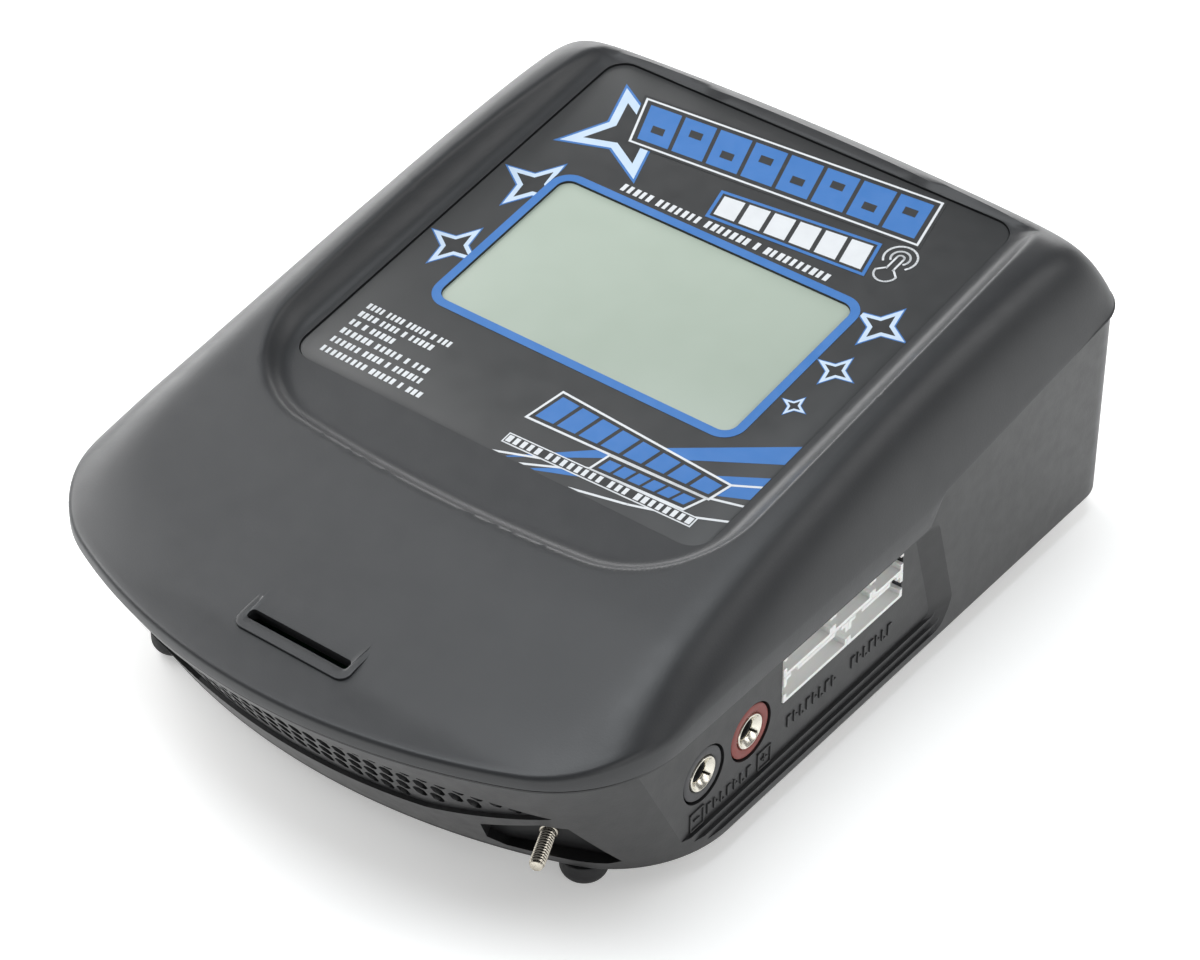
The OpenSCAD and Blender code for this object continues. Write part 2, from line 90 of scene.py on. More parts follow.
# half width, front y, front corner radius and centre, back y, back corner radius and centre
RIM = (HALF, FRONT, 28, -53.5, BACK, 8.5, 79.2)
FOOT = (CASE_HI.x, -72.8, 26, -39, 88.8, 7.5, 79.2)
CORNER_N, SIDE_N, REAR_N, BACK_N, FRONT_N = 20, 96, 10, 40, 48


# ---------- shapes ----------
def arc(cx, cy, r, a0, a1, n):
    angles = [math.radians(a0 + (a1 - a0) * i / n) for i in range(n + 1)]
    return [(cx + r * math.cos(a), cy + r * math.sin(a)) for a in angles]


def big_radius(cx, k, r):
    return (cx * cx + k * k - r * r) / (2 * (k - r))


def outline(shape, inset=0.0):
    """Plan outline with a bowed front and back and rounded corners, always with the same number of points."""
    half, front, front_r, front_c, back, back_r, back_c = shape
    w, yf, rc, yb, rb = half - inset, front + inset, front_r - inset, back - inset, back_r - inset
    fr, br = big_radius(w - rc, front_c - yf, rc), big_radius(w - rb, yb - back_c, rb)
    af = math.degrees(math.atan2(front_c - yf - fr, w - rc))
    ab = math.degrees(math.atan2(back_c - yb + br, w - rb))
    side = [(w, front_c + (back_c - front_c) * i / SIDE_N) for i in range(1, SIDE_N)]
    right = arc(w - rc, front_c, rc, af, 0, CORNER_N) + side + arc(w - rb, back_c, rb, 0, ab, REAR_N)
    rear = arc(0, yb - br, br, ab, 180 - ab, BACK_N)[1:-1]
    nose = arc(0, yf + fr, fr, 180 - af, 360 + af, FRONT_N)[1:-1]
    return right + rear + [(-x, y) for x, y in reversed(right)] + nose


def rounded(w, h, r, n=8):
    """Rounded rectangle about the origin."""
    corners = [(w / 2 - r, h / 2 - r, 0), (r - w / 2, h / 2 - r, 90),
               (r - w / 2, r - h / 2, 180), (w / 2 - r, r - h / 2, 270)]
    return [p for cx, cy, a in corners for p in arc(cx, cy, r, a, a + 90, n)]


def inset_ring(points, d):
    """The polygon moved inwards by d, edge by edge."""
    out, n = [], len(points)
    for i in range(n):
        p, q, r = (Vector(points[(i + k) % n][:2]) for k in (-1, 0, 1))
        a, b = (q - p).normalized(), (r - q).normalized()
        na, nb = Vector((-a.y, a.x)), Vector((-b.y, b.x))
        m = na + nb
        out.append(tuple(q + m * (d / max(0.25, 1 + na.dot(nb)))))
    return out


class Shape:
    """Points in millimetres and faces, added one part after another."""

    def __init__(self):
        self.points, self.faces = [], []

    def add(self, points, faces, place=None):
        base = len(self.points)
        self.points += [place @ Vector(p) if place else Vector(p) for p in points]
        self.faces += [[base + i for i in f] for f in faces]
        return self

    def loft(self, rings, place=None, caps=(True, True)):
        n = len(rings[0])
        faces = [
            (k * n + i, k * n + (i + 1) % n, (k + 1) * n + (i + 1) % n, (k + 1) * n + i)
            for k in range(len(rings) - 1)
            for i in range(n)
        ]
        if caps[0]:
            faces.append(tuple(reversed(range(n))))
        if caps[1]:
            faces.append(tuple(range(len(rings) * n - n, len(rings) * n)))
        return self.add([p for r in rings for p in r], faces, place)

    def prism(self, line, z0, z1, place=None, edge=0.0):
        """Prism with its top edge rounded by edge."""
        rings = [[(x, y, z0) for x, y in line]]
        for k in range(4 if edge else 1):
            a = math.radians(30 * k)
            step = inset_ring(line, edge * (1 - math.cos(a))) if edge else line
            rings.append([(x, y, z1 - edge * (1 - math.sin(a))) for x, y in step])
        return self.loft(rings, place)

    def lathe(self, profile, place=None, n=48, caps=(True, True)):
        """profile is a list of (radius, height)."""
        rings = [[(x, y, z) for x, y in arc(0, 0, r, 0, 360, n)[:-1]] for r, z in profile]
        return self.loft(rings, place, caps)

    def block(self, lo, hi, place=None, edge=0.0):
        lo, hi = Vector(lo), Vector(hi)
        mid, size = (lo + hi) / 2, hi - lo
        line = [(x * size.x / 2, y * size.y / 2) for x, y in ((-1, -1), (1, -1), (1, 1), (-1, 1))]
        at = Matrix.Translation((mid.x, mid.y, 0))
        return self.prism(line, lo.z, hi.z, place @ at if place else at, edge)

    def mesh(self, name, weld=0.0):
        mesh = bpy.data.meshes.new(name)
        mesh.from_pydata([tuple(p * MM) for p in self.points], [], self.faces)
        bm = bmesh.new()
        bm.from_mesh(mesh)
        if weld:
            bmesh.ops.remove_doubles(bm, verts=bm.verts, dist=weld * MM)
            bmesh.ops.dissolve_degenerate(bm, edges=bm.edges, dist=weld * MM)
        bmesh.ops.recalc_face_normals(bm, faces=bm.faces)
        bm.to_mesh(mesh)
        bm.free()
        return mesh


def x_axis(x, y, z):
    return Matrix.Translation((x, y, z)) @ Matrix.Rotation(math.radians(90), 4, "Y")


def y_axis(x, y, z):
    """Local +Z points to the front."""
    return Matrix.Translation((x, y, z)) @ Matrix.Rotation(math.radians(90), 4, "X")


def turn_z(angle):
    return Matrix.Rotation(angle, 4, "Z")


STUD = Matrix.Translation(STUD_AT) @ turn_z(STUD_TURN) @ Matrix.Rotation(math.radians(90), 4, "X")
PANEL = Matrix.Translation((0, *PANEL_TOP)) @ Matrix.Rotation(PANEL_TILT, 4, "X")
FRONT_WALL = Matrix.Translation((0, FRONT + LIP, SEAM_Z)) @ Matrix.Rotation(math.radians(116.9), 4, "X")


def on_panel(s, h=0.0):
    return PANEL @ Matrix.Translation((0, -s, h))


# ---------- materials ----------
def nodes_of(name):
    material = bpy.data.materials.new(name)
    material.use_nodes = True
    tree = material.node_tree
    return material, tree, tree.nodes["Principled BSDF"]


def node(tree, kind, inputs=(), **settings):
    made = tree.nodes.new(kind)
    for key, value in settings.items():
        setattr(made, key, value)
    for key, value in dict(inputs).items():
        if isinstance(value, bpy.types.NodeSocket):
            tree.links.new(value, made.inputs[key])
        else:
            made.inputs[key].default_value = value
    return made


def position(tree, stretch=None):
    at = tree.nodes.new("ShaderNodeTexCoord").outputs["Object"]
    if stretch:
        at = node(tree, "ShaderNodeMapping", {"Vector": at, "Scale": stretch}).outputs["Vector"]
    return at


def noise(tree, size_mm, detail=3.0, stretch=None, rough=0.55):
    inputs = {"Vector": position(tree, stretch), "Scale": 1 / (size_mm * MM)}
    inputs.update({"Detail": detail, "Roughness": rough})
    return node(tree, "ShaderNodeTexNoise", inputs).outputs["Fac"]


def spread(tree, fac, lo, hi, start=0.3, end=0.7):
    inputs = {"Value": fac, "From Min": start, "From Max": end, "To Min": lo, "To Max": hi}
    return node(tree, "ShaderNodeMapRange", inputs).outputs["Result"]


def tint(tree, fac, first, second):
    mix = node(tree, "ShaderNodeMix", {"Factor": fac}, data_type="RGBA")
    mix.inputs["A"].default_value = (*first, 1)
    mix.inputs["B"].default_value = (*second, 1)
    return mix.outputs["Result"]


def finish(name, colour, other=None, rough=(0.4, 0.5), patch=9.0, grain=0.3, bump=0.1, depth=0.05, **fixed):
    """Material with a mottled colour, an uneven gloss and a fine surface grain. Sizes are in mm."""
    material, tree, shader = nodes_of(name)
    links = tree.links
    other = other or tuple(c * 1.25 for c in colour)
    links.new(tint(tree, spread(tree, noise(tree, patch), 0, 1), colour, other), shader.inputs["Base Color"])
    links.new(spread(tree, noise(tree, patch / 4), *rough), shader.inputs["Roughness"])
    if bump:
        height = noise(tree, grain, 2.0)
        relief = node(tree, "ShaderNodeBump", {"Strength": bump, "Distance": depth * MM, "Height": height})
        links.new(relief.outputs["Normal"], shader.inputs["Normal"])
    for key, value in fixed.items():
        shader.inputs[key.replace("_", " ").title()].default_value = value
    return material


def turned_metal(name, colour, rough=(0.16, 0.3), ring=0.12):
    """Plated metal with fine tool marks."""
    return finish(name, colour, tuple(c * 0.85 for c in colour), rough, 3.0, ring, 0.25, 0.01, metallic=1.0)


MATERIALS = {
    "cover_plastic": finish("cover_plastic", (0.022, 0.023, 0.025), (0.026, 0.027, 0.029),
                            (0.38, 0.43), 14, 0.42, 0.3, 0.06),
    "case_plastic": finish("case_plastic", (0.019, 0.019, 0.02), (0.024, 0.024, 0.025),
                           (0.38, 0.46), 14, 0.42, 0.3, 0.06),
    "panel_film": finish("panel_film", (0.032, 0.033, 0.034), (0.036, 0.037, 0.038),
                         (0.34, 0.4), 20, 0.25, 0.08, 0.02),
    "lcd_glass": finish("lcd_glass", (0.37, 0.43, 0.365), (0.385, 0.445, 0.38), (0.28, 0.34), 25, 0.6, 0, 0),
    "module_metal": turned_metal("module_metal", (0.62, 0.63, 0.65)),
    "board_green": finish("board_green", (0.01, 0.09, 0.035), (0.015, 0.14, 0.05),
                          (0.3, 0.42), 1.6, 0.5, 0.2, 0.04),
    "ribbon_film": finish("ribbon_film", (0.7, 0.7, 0.65), None, (0.35, 0.45), 3, 0.4, 0.1, 0.02),
    "light_bar": finish("light_bar", (0.014, 0.015, 0.016), None, (0.3, 0.4), 4, 0.3, 0.05, 0.02),
    "collar_black": finish("collar_black", (0.03, 0.03, 0.033), None, (0.36, 0.46), 3, 0.3, 0.15, 0.03),
    "collar_red": finish("collar_red", (0.2, 0.028, 0.02), (0.24, 0.038, 0.028),
                         (0.36, 0.46), 3, 0.3, 0.15, 0.03),
    "plated_metal": turned_metal("plated_metal", (0.86, 0.82, 0.72)),
    "socket_nylon": finish("socket_nylon", (0.86, 0.87, 0.86), (0.9, 0.9, 0.88),
                           (0.38, 0.48), 5, 0.35, 0.1, 0.02,
                           subsurface_weight=0.15, subsurface_scale=0.0006),
    "stud_steel": turned_metal("stud_steel", (0.68, 0.63, 0.54), (0.22, 0.32)),
    "foot_rubber": finish("foot_rubber", (0.014, 0.014, 0.015), None, (0.62, 0.75), 5, 0.35, 0.35, 0.06),
    "screw_steel": turned_metal("screw_steel", (0.55, 0.55, 0.56)),
    "ferrite": finish("ferrite", (0.03, 0.03, 0.033), None, (0.6, 0.7), 4, 0.5, 0.4, 0.08),
    "copper_coil": turned_metal("copper_coil", (0.72, 0.33, 0.16)),
    "capacitor_sleeve": finish("capacitor_sleeve", (0.02, 0.025, 0.06), None,
                               (0.25, 0.35), 6, 0.6, 0.05, 0.02),
    "sink_aluminium": turned_metal("sink_aluminium", (0.72, 0.73, 0.75), (0.3, 0.45)),
    "epoxy_black": finish("epoxy_black", (0.018, 0.018, 0.019), None, (0.45, 0.6), 3, 0.3, 0.25, 0.04),
    "fuse_ceramic": finish("fuse_ceramic", (0.75, 0.73, 0.66), None, (0.3, 0.4), 4, 0.5, 0.05, 0.02),
    "fan_plastic": finish("fan_plastic", (0.016, 0.016, 0.017), None, (0.3, 0.42), 6, 0.35, 0.1, 0.03),
    "inlet_plastic": finish("inlet_plastic", (0.014, 0.014, 0.015), None, (0.36, 0.46), 6, 0.35, 0.15, 0.03),
}
# finishes that some pieces take in place of a material from the table above
EXTRAS = {
    # painted shade: dark metal for the core that shows in the stud's thread grooves, where the real thread is
    # only shaded
    "thread_groove_painted_shade": finish("thread_groove_painted_shade", (0.05, 0.043, 0.034), None, (0.4, 0.5), 3, 0.3, 0.2, 0.02,
                          metallic=1.0),
    "ink_white": finish("ink_white", (0.66, 0.68, 0.7), (0.7, 0.72, 0.74),
                        (0.36, 0.44), 4, 0.3, 0.03, 0.01),
    "ink_pale_blue": finish("ink_pale_blue", (0.5, 0.62, 0.76), (0.56, 0.67, 0.8),
                            (0.36, 0.44), 6, 0.3, 0.03, 0.01),
    "ink_blue": finish("ink_blue", (0.042, 0.165, 0.45), (0.05, 0.18, 0.48),
                       (0.34, 0.42), 8, 0.3, 0.03, 0.01),
    "ink_black": finish("ink_black", (0.03, 0.031, 0.032), (0.034, 0.035, 0.036),
                        (0.32, 0.38), 8, 0.3, 0.03, 0.01),
}

for part in frame["record"]["subparts"]:
    cad = frame["nodes"][part["node"]]
    cad.data.materials.clear()
    cad.data.materials.append(MATERIALS[part["material_slot"]])


# ---------- pieces ----------
def place_piece(name, mesh, slot, body="case", stands_for=(), extra=None, sharp=32):
    obj = bpy.data.objects.new(name, mesh)
    bpy.context.scene.collection.objects.link(obj)
    mesh.materials.clear()
    mesh.materials.append(EXTRAS[extra] if extra else MATERIALS[slot])
    mesh.shade_smooth()
    mesh.set_sharp_from_angle(angle=math.radians(sharp))
    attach(obj, body)
    if stands_for:
        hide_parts(*stands_for)
    return obj


def piece(name, shape, slot, body="case", stands_for=(), extra=None, sharp=32, weld=0.0):
    return place_piece(name, shape.mesh(name, weld), slot, body, stands_for, extra, sharp)


def combine(target, cutter, operation="DIFFERENCE"):
    """Mesh of target with the cutter mesh taken off or added."""
    objects = [bpy.data.objects.new("work", m) for m in (target, cutter)]
    for o in objects:
        bpy.context.scene.collection.objects.link(o)
    step = objects[0].modifiers.new("cut", "BOOLEAN")
    step.operation, step.solver, step.object = operation, "EXACT", objects[1]
    bpy.context.view_layer.update()
    result = bpy.data.meshes.new_from_object(objects[0].evaluated_get(bpy.context.evaluated_depsgraph_get()))
    for o in objects:
        bpy.data.objects.remove(o)
    return result


def cut(target, *shapes):
    for shape in shapes:
        target = combine(target, shape.mesh("cutter"))
    return target


# ---------- heights of the cover ----------
def ramp(t):
    u = min(1.0, max(0.0, t))
    return u * u * (3 - 2 * u)


def crease(y):
    """Height of the edge between the dome and the band under it."""
    return 39 + 2.3 * ramp((y + 80) / 40) + 0.128 * max(0.0, y - 18)


def seam(y):
    """Parting height: level at the front and sides, and just under the crease at the rear."""
    return SEAM_Z + (crease(y) - 0.6 - SEAM_Z) * ramp((y - 20.5) / 5)


def ridge(y):
    """Height along the middle line, with a flatter lip round the front slot."""
    slope = 26.6 * (max(0.0, 75 - y) / 165) ** 1.66
    return 65.6 - slope - 2.1 * ramp((y - FRONT) / 13) * ramp((-44 - y) / 28)


def soft_min(k, *values):
    return -k * math.log(sum(math.exp(-v / k) for v in values))


FRONT_BIG = big_radius(HALF - RIM[2], RIM[3] - FRONT, RIM[2])
BACK_BIG = big_radius(HALF - RIM[5], BACK - RIM[6], RIM[5])


SIDE_ROLL, FRONT_ROLL, BACK_ROLL = 15, 19, 20  # width of the dome's rolled edges


def loaf(x, y):
    """Dome without its recess."""
    side = (HALF - abs(x)) / SIDE_ROLL
    front = (FRONT_BIG - math.hypot(x, y - FRONT - FRONT_BIG)) / FRONT_ROLL
    back = (BACK_BIG - math.hypot(x, y - BACK + BACK_BIG)) / BACK_ROLL
    t = min(1.0, max(0.0, soft_min(0.2, side, front, back)))
    return crease(y) + (ridge(y) - crease(y)) * (1 - (1 - t) ** 3.5)


def scoop(x, y):
    """Floor of the recess round the touch panel and the sweep of its edge."""
    dx, dy = abs(x) - 32.6, x * x / 600 - 20.5 - y
    d = max(0.0, math.hypot(max(0.0, dx), max(0.0, dy)) - 16)
    e = max(0.0, y - 76.4) * 2.5
    return PANEL_TOP[1] + PANEL_DEPTH + (y - PANEL_TOP[0]) * math.tan(PANEL_TILT) + (d * d + e * e) / 6.4


def top_z(x, y):
    return soft_min(0.35, loaf(x, y), scoop(x, y))


def cover_mesh():
    rim, rounds = outline(RIM), []
    edge = [min(0.9, 0.55 * (crease(y) - seam(y) - 0.15)) for x, y in rim]
    for inset, up in ((0.3, 0.15), (0.06, 0.22), (0.0, 0.4)):
        rounds.append([(x, y, min(seam(y) + up, crease(y) - 0.28)) for x, y in outline(RIM, inset)])
    insets = {k: outline(RIM, 0.9 * (1 - math.cos(math.radians(k)))) for k in range(0, 91, 18)}
    for k, line in insets.items():
        ring = []
        for (x0, y0), (x1, y1), r in zip(rim, line, edge):
            x, y = x0 + (x1 - x0) * r / 0.9, y0 + (y1 - y0) * r / 0.9
            ring.append((x, y, top_z(x, y) - r * (1 - math.sin(math.radians(k)))))
        rounds.append(ring)
    inner = outline(RIM, WALL - 0.2)
    scales = [1 - 0.011 * k for k in range(1, 14)] + [0.857 - 0.0045 * k for k in range(1, 27)]
    scales += [0.74 - 0.011 * k for k in range(1, 36)] + [0.3, 0.24, 0.17, 0.1, 0.04]
    last = rounds[-1]
    for s in scales:
        rounds.append([(x * s, y * s, top_z(x * s, y * s)) for x, y, _ in last])
    shape = Shape().loft(rounds, caps=(False, True))
    under = [[(x, y, z) for x, y, z in rounds[0]]]
    under.append([(x, y, seam(y) + 0.15) for x, y in inner])
    under.append([(x, y, max(crease(y) - 1.2, seam(y) + 0.35)) for x, y in inner])
    for s in (0.965, 0.93, 0.88, 0.82, 0.75, 0.65, 0.5, 0.3, 0.1):
        under.append([(x * s, y * s, top_z(x * s * 1.02, y * s * 1.02) - WALL) for x, y in inner])
    shape.loft(under, caps=(False, True))
    return cut(
        shape.mesh("upper_shell", weld=0.002),
        Shape().prism(rounded(PANEL_W + 0.3, PANEL_L + 0.3, 4.65), -0.8, 12, on_panel(PANEL_L / 2)),
        Shape().prism(rounded(LCD_W + 0.4, LCD_H + 0.4, 3), -6, 6, on_panel(LCD_S + LCD_H / 2)),
        Shape().prism(rounded(SLOT_L + 1.6, SLOT_W + 2, 1.6), 30, 50, Matrix.Translation((0, SLOT_Y, 0))),
    )


def split_long(points, parts=12):
    """The polygon with its straight sides split, always with the same number of points."""
    out, count = [], len(points)
    for i, (x, y) in enumerate(points):
        out.append((x, y))
        if i % (count // 4) == count // 4 - 1:
            nx, ny = points[(i + 1) % count]
            out += [(x + (nx - x) * k / parts, y + (ny - y) * k / parts) for k in range(1, parts)]
    return out


def slot_lip():
    """Flat lip round the front slot, proud at its front edge and fading into the dome at the back."""
    outer_y, outer_w, outer_h = SLOT_Y + 2.4, SLOT_L + 2.9, 11.6
    rings = []
    for inset, up in ((0, -0.6), (0, -0.12), (0.08, -0.03), (0.22, 0), (0.6, 0), (1.1, 0)):
        line = rounded(outer_w - 2 * inset, outer_h - 2 * inset, 2.2 - inset)
        rings.append([(x, y + outer_y, up) for x, y in split_long(line)])
    for inset, up in ((0.12, 0), (0.03, -0.05), (0, -0.18), (0, -0.9)):
        line = rounded(SLOT_L + 2 * inset, SLOT_W + 2 * inset, 0.8 + inset)
        rings.append([(x, y + SLOT_Y, up) for x, y in split_long(line)])
    proud = [[(x, y, top_z(x, y) + 0.52 * ramp((-71.5 - y) / 6) - 0.03 + up) for x, y, up in ring]
             for ring in rings]
    return Shape().loft(proud + proud[:1], caps=(False, False))


# ---------- lower case ----------
def mix_lines(a, b, t):
    return [(p[0] + (q[0] - p[0]) * t, p[1] + (q[1] - p[1]) * t) for p, q in zip(a, b)]


def case_rings(depth=0.0, levels=12):
    """Rings up the outer wall, set back by depth."""
    foot, rim = outline(FOOT, depth), outline(RIM, LIP + depth)
    rings = []
    for a in (0, 30, 60):
        line = outline(FOOT, depth + 0.8 * (1 - math.sin(math.radians(a))))
        rings.append([(x, y, FLOOR_Z + 0.9 * (1 - math.cos(math.radians(a)))) for x, y in line])
    for k in range(levels + 1):
        t = k / levels
        z = FLOOR_Z + 0.9 + (SEAM_Z - 1.8 - FLOOR_Z) * t
        rings.append([(x, y, z) for x, y in mix_lines(foot, rim, t)])
    return rings


def case_blank():
    rings = case_rings()
    rim, inner = outline(RIM, LIP), outline(RIM, 4.7)
    groove = outline(RIM, LIP + 0.6)
    for k in (1, 2, 3):
        rings.append([(x, y, SEAM_Z - 0.9 + (seam(y) - 0.55 - SEAM_Z + 0.9) * k / 3) for x, y in rim])
    rings.append([(x, y, seam(y) - 0.5) for x, y in groove])
    rings.append([(x, y, seam(y)) for x, y in groove])
    rings.append([(x, y, seam(y)) for x, y in inner])
    rings.append([(x, y, SEAM_Z - 0.4) for x, y in inner])
    cavity, sill = outline(FOOT, 4), outline(RIM, 4.7)
    for t in (0.66, 0.33, 0.0):
        rings.append([(x, y, 7.2 + (SEAM_Z - 7.2) * t) for x, y in mix_lines(cavity, sill, t)])
    return Shape().loft(rings).mesh("case_blank", weld=0.002)


def round_corners(points, radii, n=6):
    """Polygon with its corners rounded."""
    out, count = [], len(points)
    for i in range(count):
        p, q, r = (Vector(points[(i + k) % count]) for k in (-1, 0, 1))
        a, b = (p - q).normalized(), (r - q).normalized()
        half = a.angle(b) / 2
        reach = radii[i] / math.tan(half)
        centre = q + (a + b).normalized() * (radii[i] / math.sin(half))
        first, last = q + a * reach - centre, q + b * reach - centre
        turn = first.angle_signed(last) if radii[i] else 0.0
        for k in range(n + 1):
            angle = -turn * k / n
            c, s = math.cos(angle), math.sin(angle)
            out.append((centre.x + first.x * c - first.y * s, centre.y + first.x * s + first.y * c))
    return out


def side_inset(x, z, y_end, rounding):
    """Cutter that opens the right side out from plane x, with a leaning rear wall that opens outwards."""
    rings, top = [], SEAM_Z - 1.1
    lean, opening = 0.29, 2.95  # slopes of the rear wall, along z and along x
    beyond_case = 80.0
    for at, extra in ((x, 0.0), (beyond_case, 6.0)):
        rear = y_end + opening * (at - x)
        corners = [(-76, z), (rear, z), (rear - lean * (top - z), top), (-76, top)]
        line = round_corners(corners, [0.01, rounding + extra, 2.4, 0.01])
        rings.append([(at, y, h) for y, h in line])
    return Shape().loft(rings)


def grille_drop(x):
    """The rows of the grille droop towards its ends."""
    return 0.0054 * x * x


def grille_low(x):
    return -24.8 + 0.263 * max(0.0, abs(x) - 27)


def honeycomb():
    shape = Shape()
    hole = [(-1.12, -1.1), (-0.4, -2), (0.4, -2), (1.12, -1.1),
            (1.12, 1.1), (0.4, 2), (-0.4, 2), (-1.12, 1.1)]
    for row in range(4):
        for i in range(-16, 17):
            x = (i + (row % 2) / 2) * 3.05
            y = -5.8 - 4.5 * row - grille_drop(x)
            if y - 2.4 > grille_low(x):
                shape.prism([(x + u, y + v) for u, v in hole], -19, 7, FRONT_WALL)
    return shape


def case_mesh():
    mesh = case_blank()
    recess = Shape()
    for m in (-1, 1):
        place = Matrix.Diagonal((m, 1, 1, 1)) @ Matrix.Translation((45.4, -61.4, 0)) @ turn_z(STUD_TURN)
        recess.block((-14, -12, 5.5), (16, 4, 27), place)
    backing = combine(Shape().loft(case_rings(0.3, 6)).mesh("core"), recess.mesh("walls"), "INTERSECT")
    mesh = combine(mesh, backing, "UNION")
    bosses = Shape()
    for x, y in POSTS:
        bosses.lathe([(5, 6), (5, 13.9)], Matrix.Translation((x, y, 0)), 32)
    mesh = combine(mesh, bosses.mesh("bosses"), "UNION")
    grille = [(x, -3.2 - grille_drop(x)) for x in range(50, -51, -5)]
    grille += [(-52.5, -18), (-27, grille_low(27)), (27, grille_low(27)), (52.5, -18)]
    core = Shape().loft(case_rings(1.0, 6)).mesh("core")
    ledge = combine(Shape().prism(grille, -16, 6, FRONT_WALL).mesh("grille"), core)
    mesh = combine(mesh, ledge)
    eye = [(-12, 1.2), (-8.5, -0.4), (10, -0.4), (12.4, 0.4),
           (9.2, 5.5), (4.6, 13.2), (-0.5, 13.2), (-12.2, 7.2)]
    pockets = Shape()
    for m in (-1, 1):
        place = Matrix.Diagonal((m, 1, 1, 1)) @ Matrix.Translation((45.4, -61.4, 8)) @ turn_z(STUD_TURN)
        pockets.prism(eye, 1.2, 23.2, place @ Matrix.Rotation(math.radians(90), 4, "X"))
    jacks, holes, heads, foot_holes = Shape(), Shape(), Shape(), Shape()
    for y in JACKS.values():
        jacks.lathe([(5.98, -4), (5.98, 6)], x_axis(SIDE_X, y, JACK_Z), 64)
    for x, y in POSTS:
        holes.lathe([(1.6, 0), (1.6, 20)], Matrix.Translation((x, y, 0)), 24)
        heads.lathe([(3.3, 4), (3.0, 5.4), (3.0, 7.2)], Matrix.Translation((x, y, 0)), 32)
    for x, y in FEET:
        foot_holes.lathe([(2.5, 4), (2.5, 6)], Matrix.Translation((x, y, 0)), 32)
    sockets_lo, sockets_hi = box_mm("socket_7pin")[0], box_mm("socket_3pin")[1]
    header = Shape().block((60, sockets_lo.y - 0.1, sockets_lo.z - 0.1),
                           (70, sockets_hi.y + 0.1, sockets_hi.z + 0.25))
    guard, fan_holes, fan_heads = Shape(), Shape(), Shape()
    for r in (5.5, 10, 14.5):
        for a in range(4):
            gap = math.degrees(1.2 / (r + 1.4))
            sector = arc(0, 0, r + 2.8, 45 + a * 90 + gap, 135 + a * 90 - gap, 16)
            sector += arc(0, 0, r, 135 + a * 90 - gap, 45 + a * 90 + gap, 16)
            guard.prism(sector, 0, 12, y_axis(FAN_AT.x, 95, FAN_AT.z))
    for x in (-16, 16):
        for z in (-16, 16):
            fan_holes.lathe([(1.6, 0), (1.6, 12)], y_axis(FAN_AT.x + x, 95, FAN_AT.z + z), 24)
            fan_heads.lathe([(3.4, 4), (3.4, 6), (3.05, 8.4)], y_axis(FAN_AT.x + x, 95, FAN_AT.z + z), 32)
    inlet_lo, inlet_hi = box_mm("mains_inlet")
    dc = centre_mm("dc_inlet")
    return cut(
        mesh,
        side_inset(SIDE_X, 10.2, 26.6, 2.0),
        side_inset(SIDE_X + 0.7, 8.6, 28.6, 3.2),
        side_inset(SIDE_X + 1.3, 7.2, 30.0, 4.2),
        jacks, header, honeycomb(), pockets,
        Shape().lathe([(1.4, -15), (1.4, 15)], STUD, 32),
        foot_holes, holes, heads, guard, fan_holes, fan_heads,
        Shape().block((inlet_lo.x - 0.2, 80, inlet_lo.z - 0.2), (inlet_hi.x + 0.2, 94, inlet_hi.z + 0.2)),
        Shape().lathe([(5.1, 0), (5.1, 12)], y_axis(dc.x, 95, dc.z), 48),
    )


place_piece("upper_shell", cover_mesh(), "cover_plastic", stands_for=["upper_cover"])
piece("slot_lip", slot_lip(), "cover_plastic", weld=0.002)
place_piece("case_shell", case_mesh(), "case_plastic", stands_for=["lower_case"], sharp=13)


# ---------- touch panel and display ----------
LCD_AT = LCD_S + LCD_H / 2


def panel():
    film = Shape().prism(rounded(PANEL_W, PANEL_L, 4.5, 12), -0.78, -0.02, on_panel(PANEL_L / 2), edge=0.16)
    window = Shape().prism(rounded(LCD_W - 0.2, LCD_H - 0.2, 2.7), -3, 3, on_panel(LCD_AT))
    place_piece("touch_film", cut(film.mesh("touch_film"), window), "panel_film", stands_for=["touch_panel"])
    glass = Shape().prism(rounded(LCD_W - 0.3, LCD_H - 0.3, 2.6), -3.36, -0.42, on_panel(LCD_AT), edge=0.1)
    piece("display_glass", glass, "lcd_glass", stands_for=["lcd_screen"])


# ---------- print on the touch panel ----------
# x runs to the right and s down from the panel's upper edge
PRINT_X, PRINT_S = PANEL_W / 2 - 0.25, PANEL_L - 0.3
FRAME_W = 1.8  # blue line round the display
LETTER = 1.3  # pitch of the blocks that stand for small print
rng = random.Random(7)


def clip(points, axis, limit, sign):
    """The part of a polygon on one side of a line across x (axis 0) or s (axis 1)."""
    out = []
    for p, q in zip(points, list(points[1:]) + [points[0]]):
        dp, dq = (sign * (v[axis] - limit) for v in (p, q))
        if dp >= 0:
            out.append(tuple(p[:2]))
        if dp * dq < 0:
            t = dp / (dp - dq)
            out.append((p[0] + (q[0] - p[0]) * t, p[1] + (q[1] - p[1]) * t))
    return out


def turning(points):
    return sum(a[0] * b[1] - b[0] * a[1] for a, b in zip(points, points[1:] + points[:1]))


def grow(points, d):
    """Polygon in x and s moved outwards by d."""
    return inset_ring(points, -d if turning(points) > 0 else d)


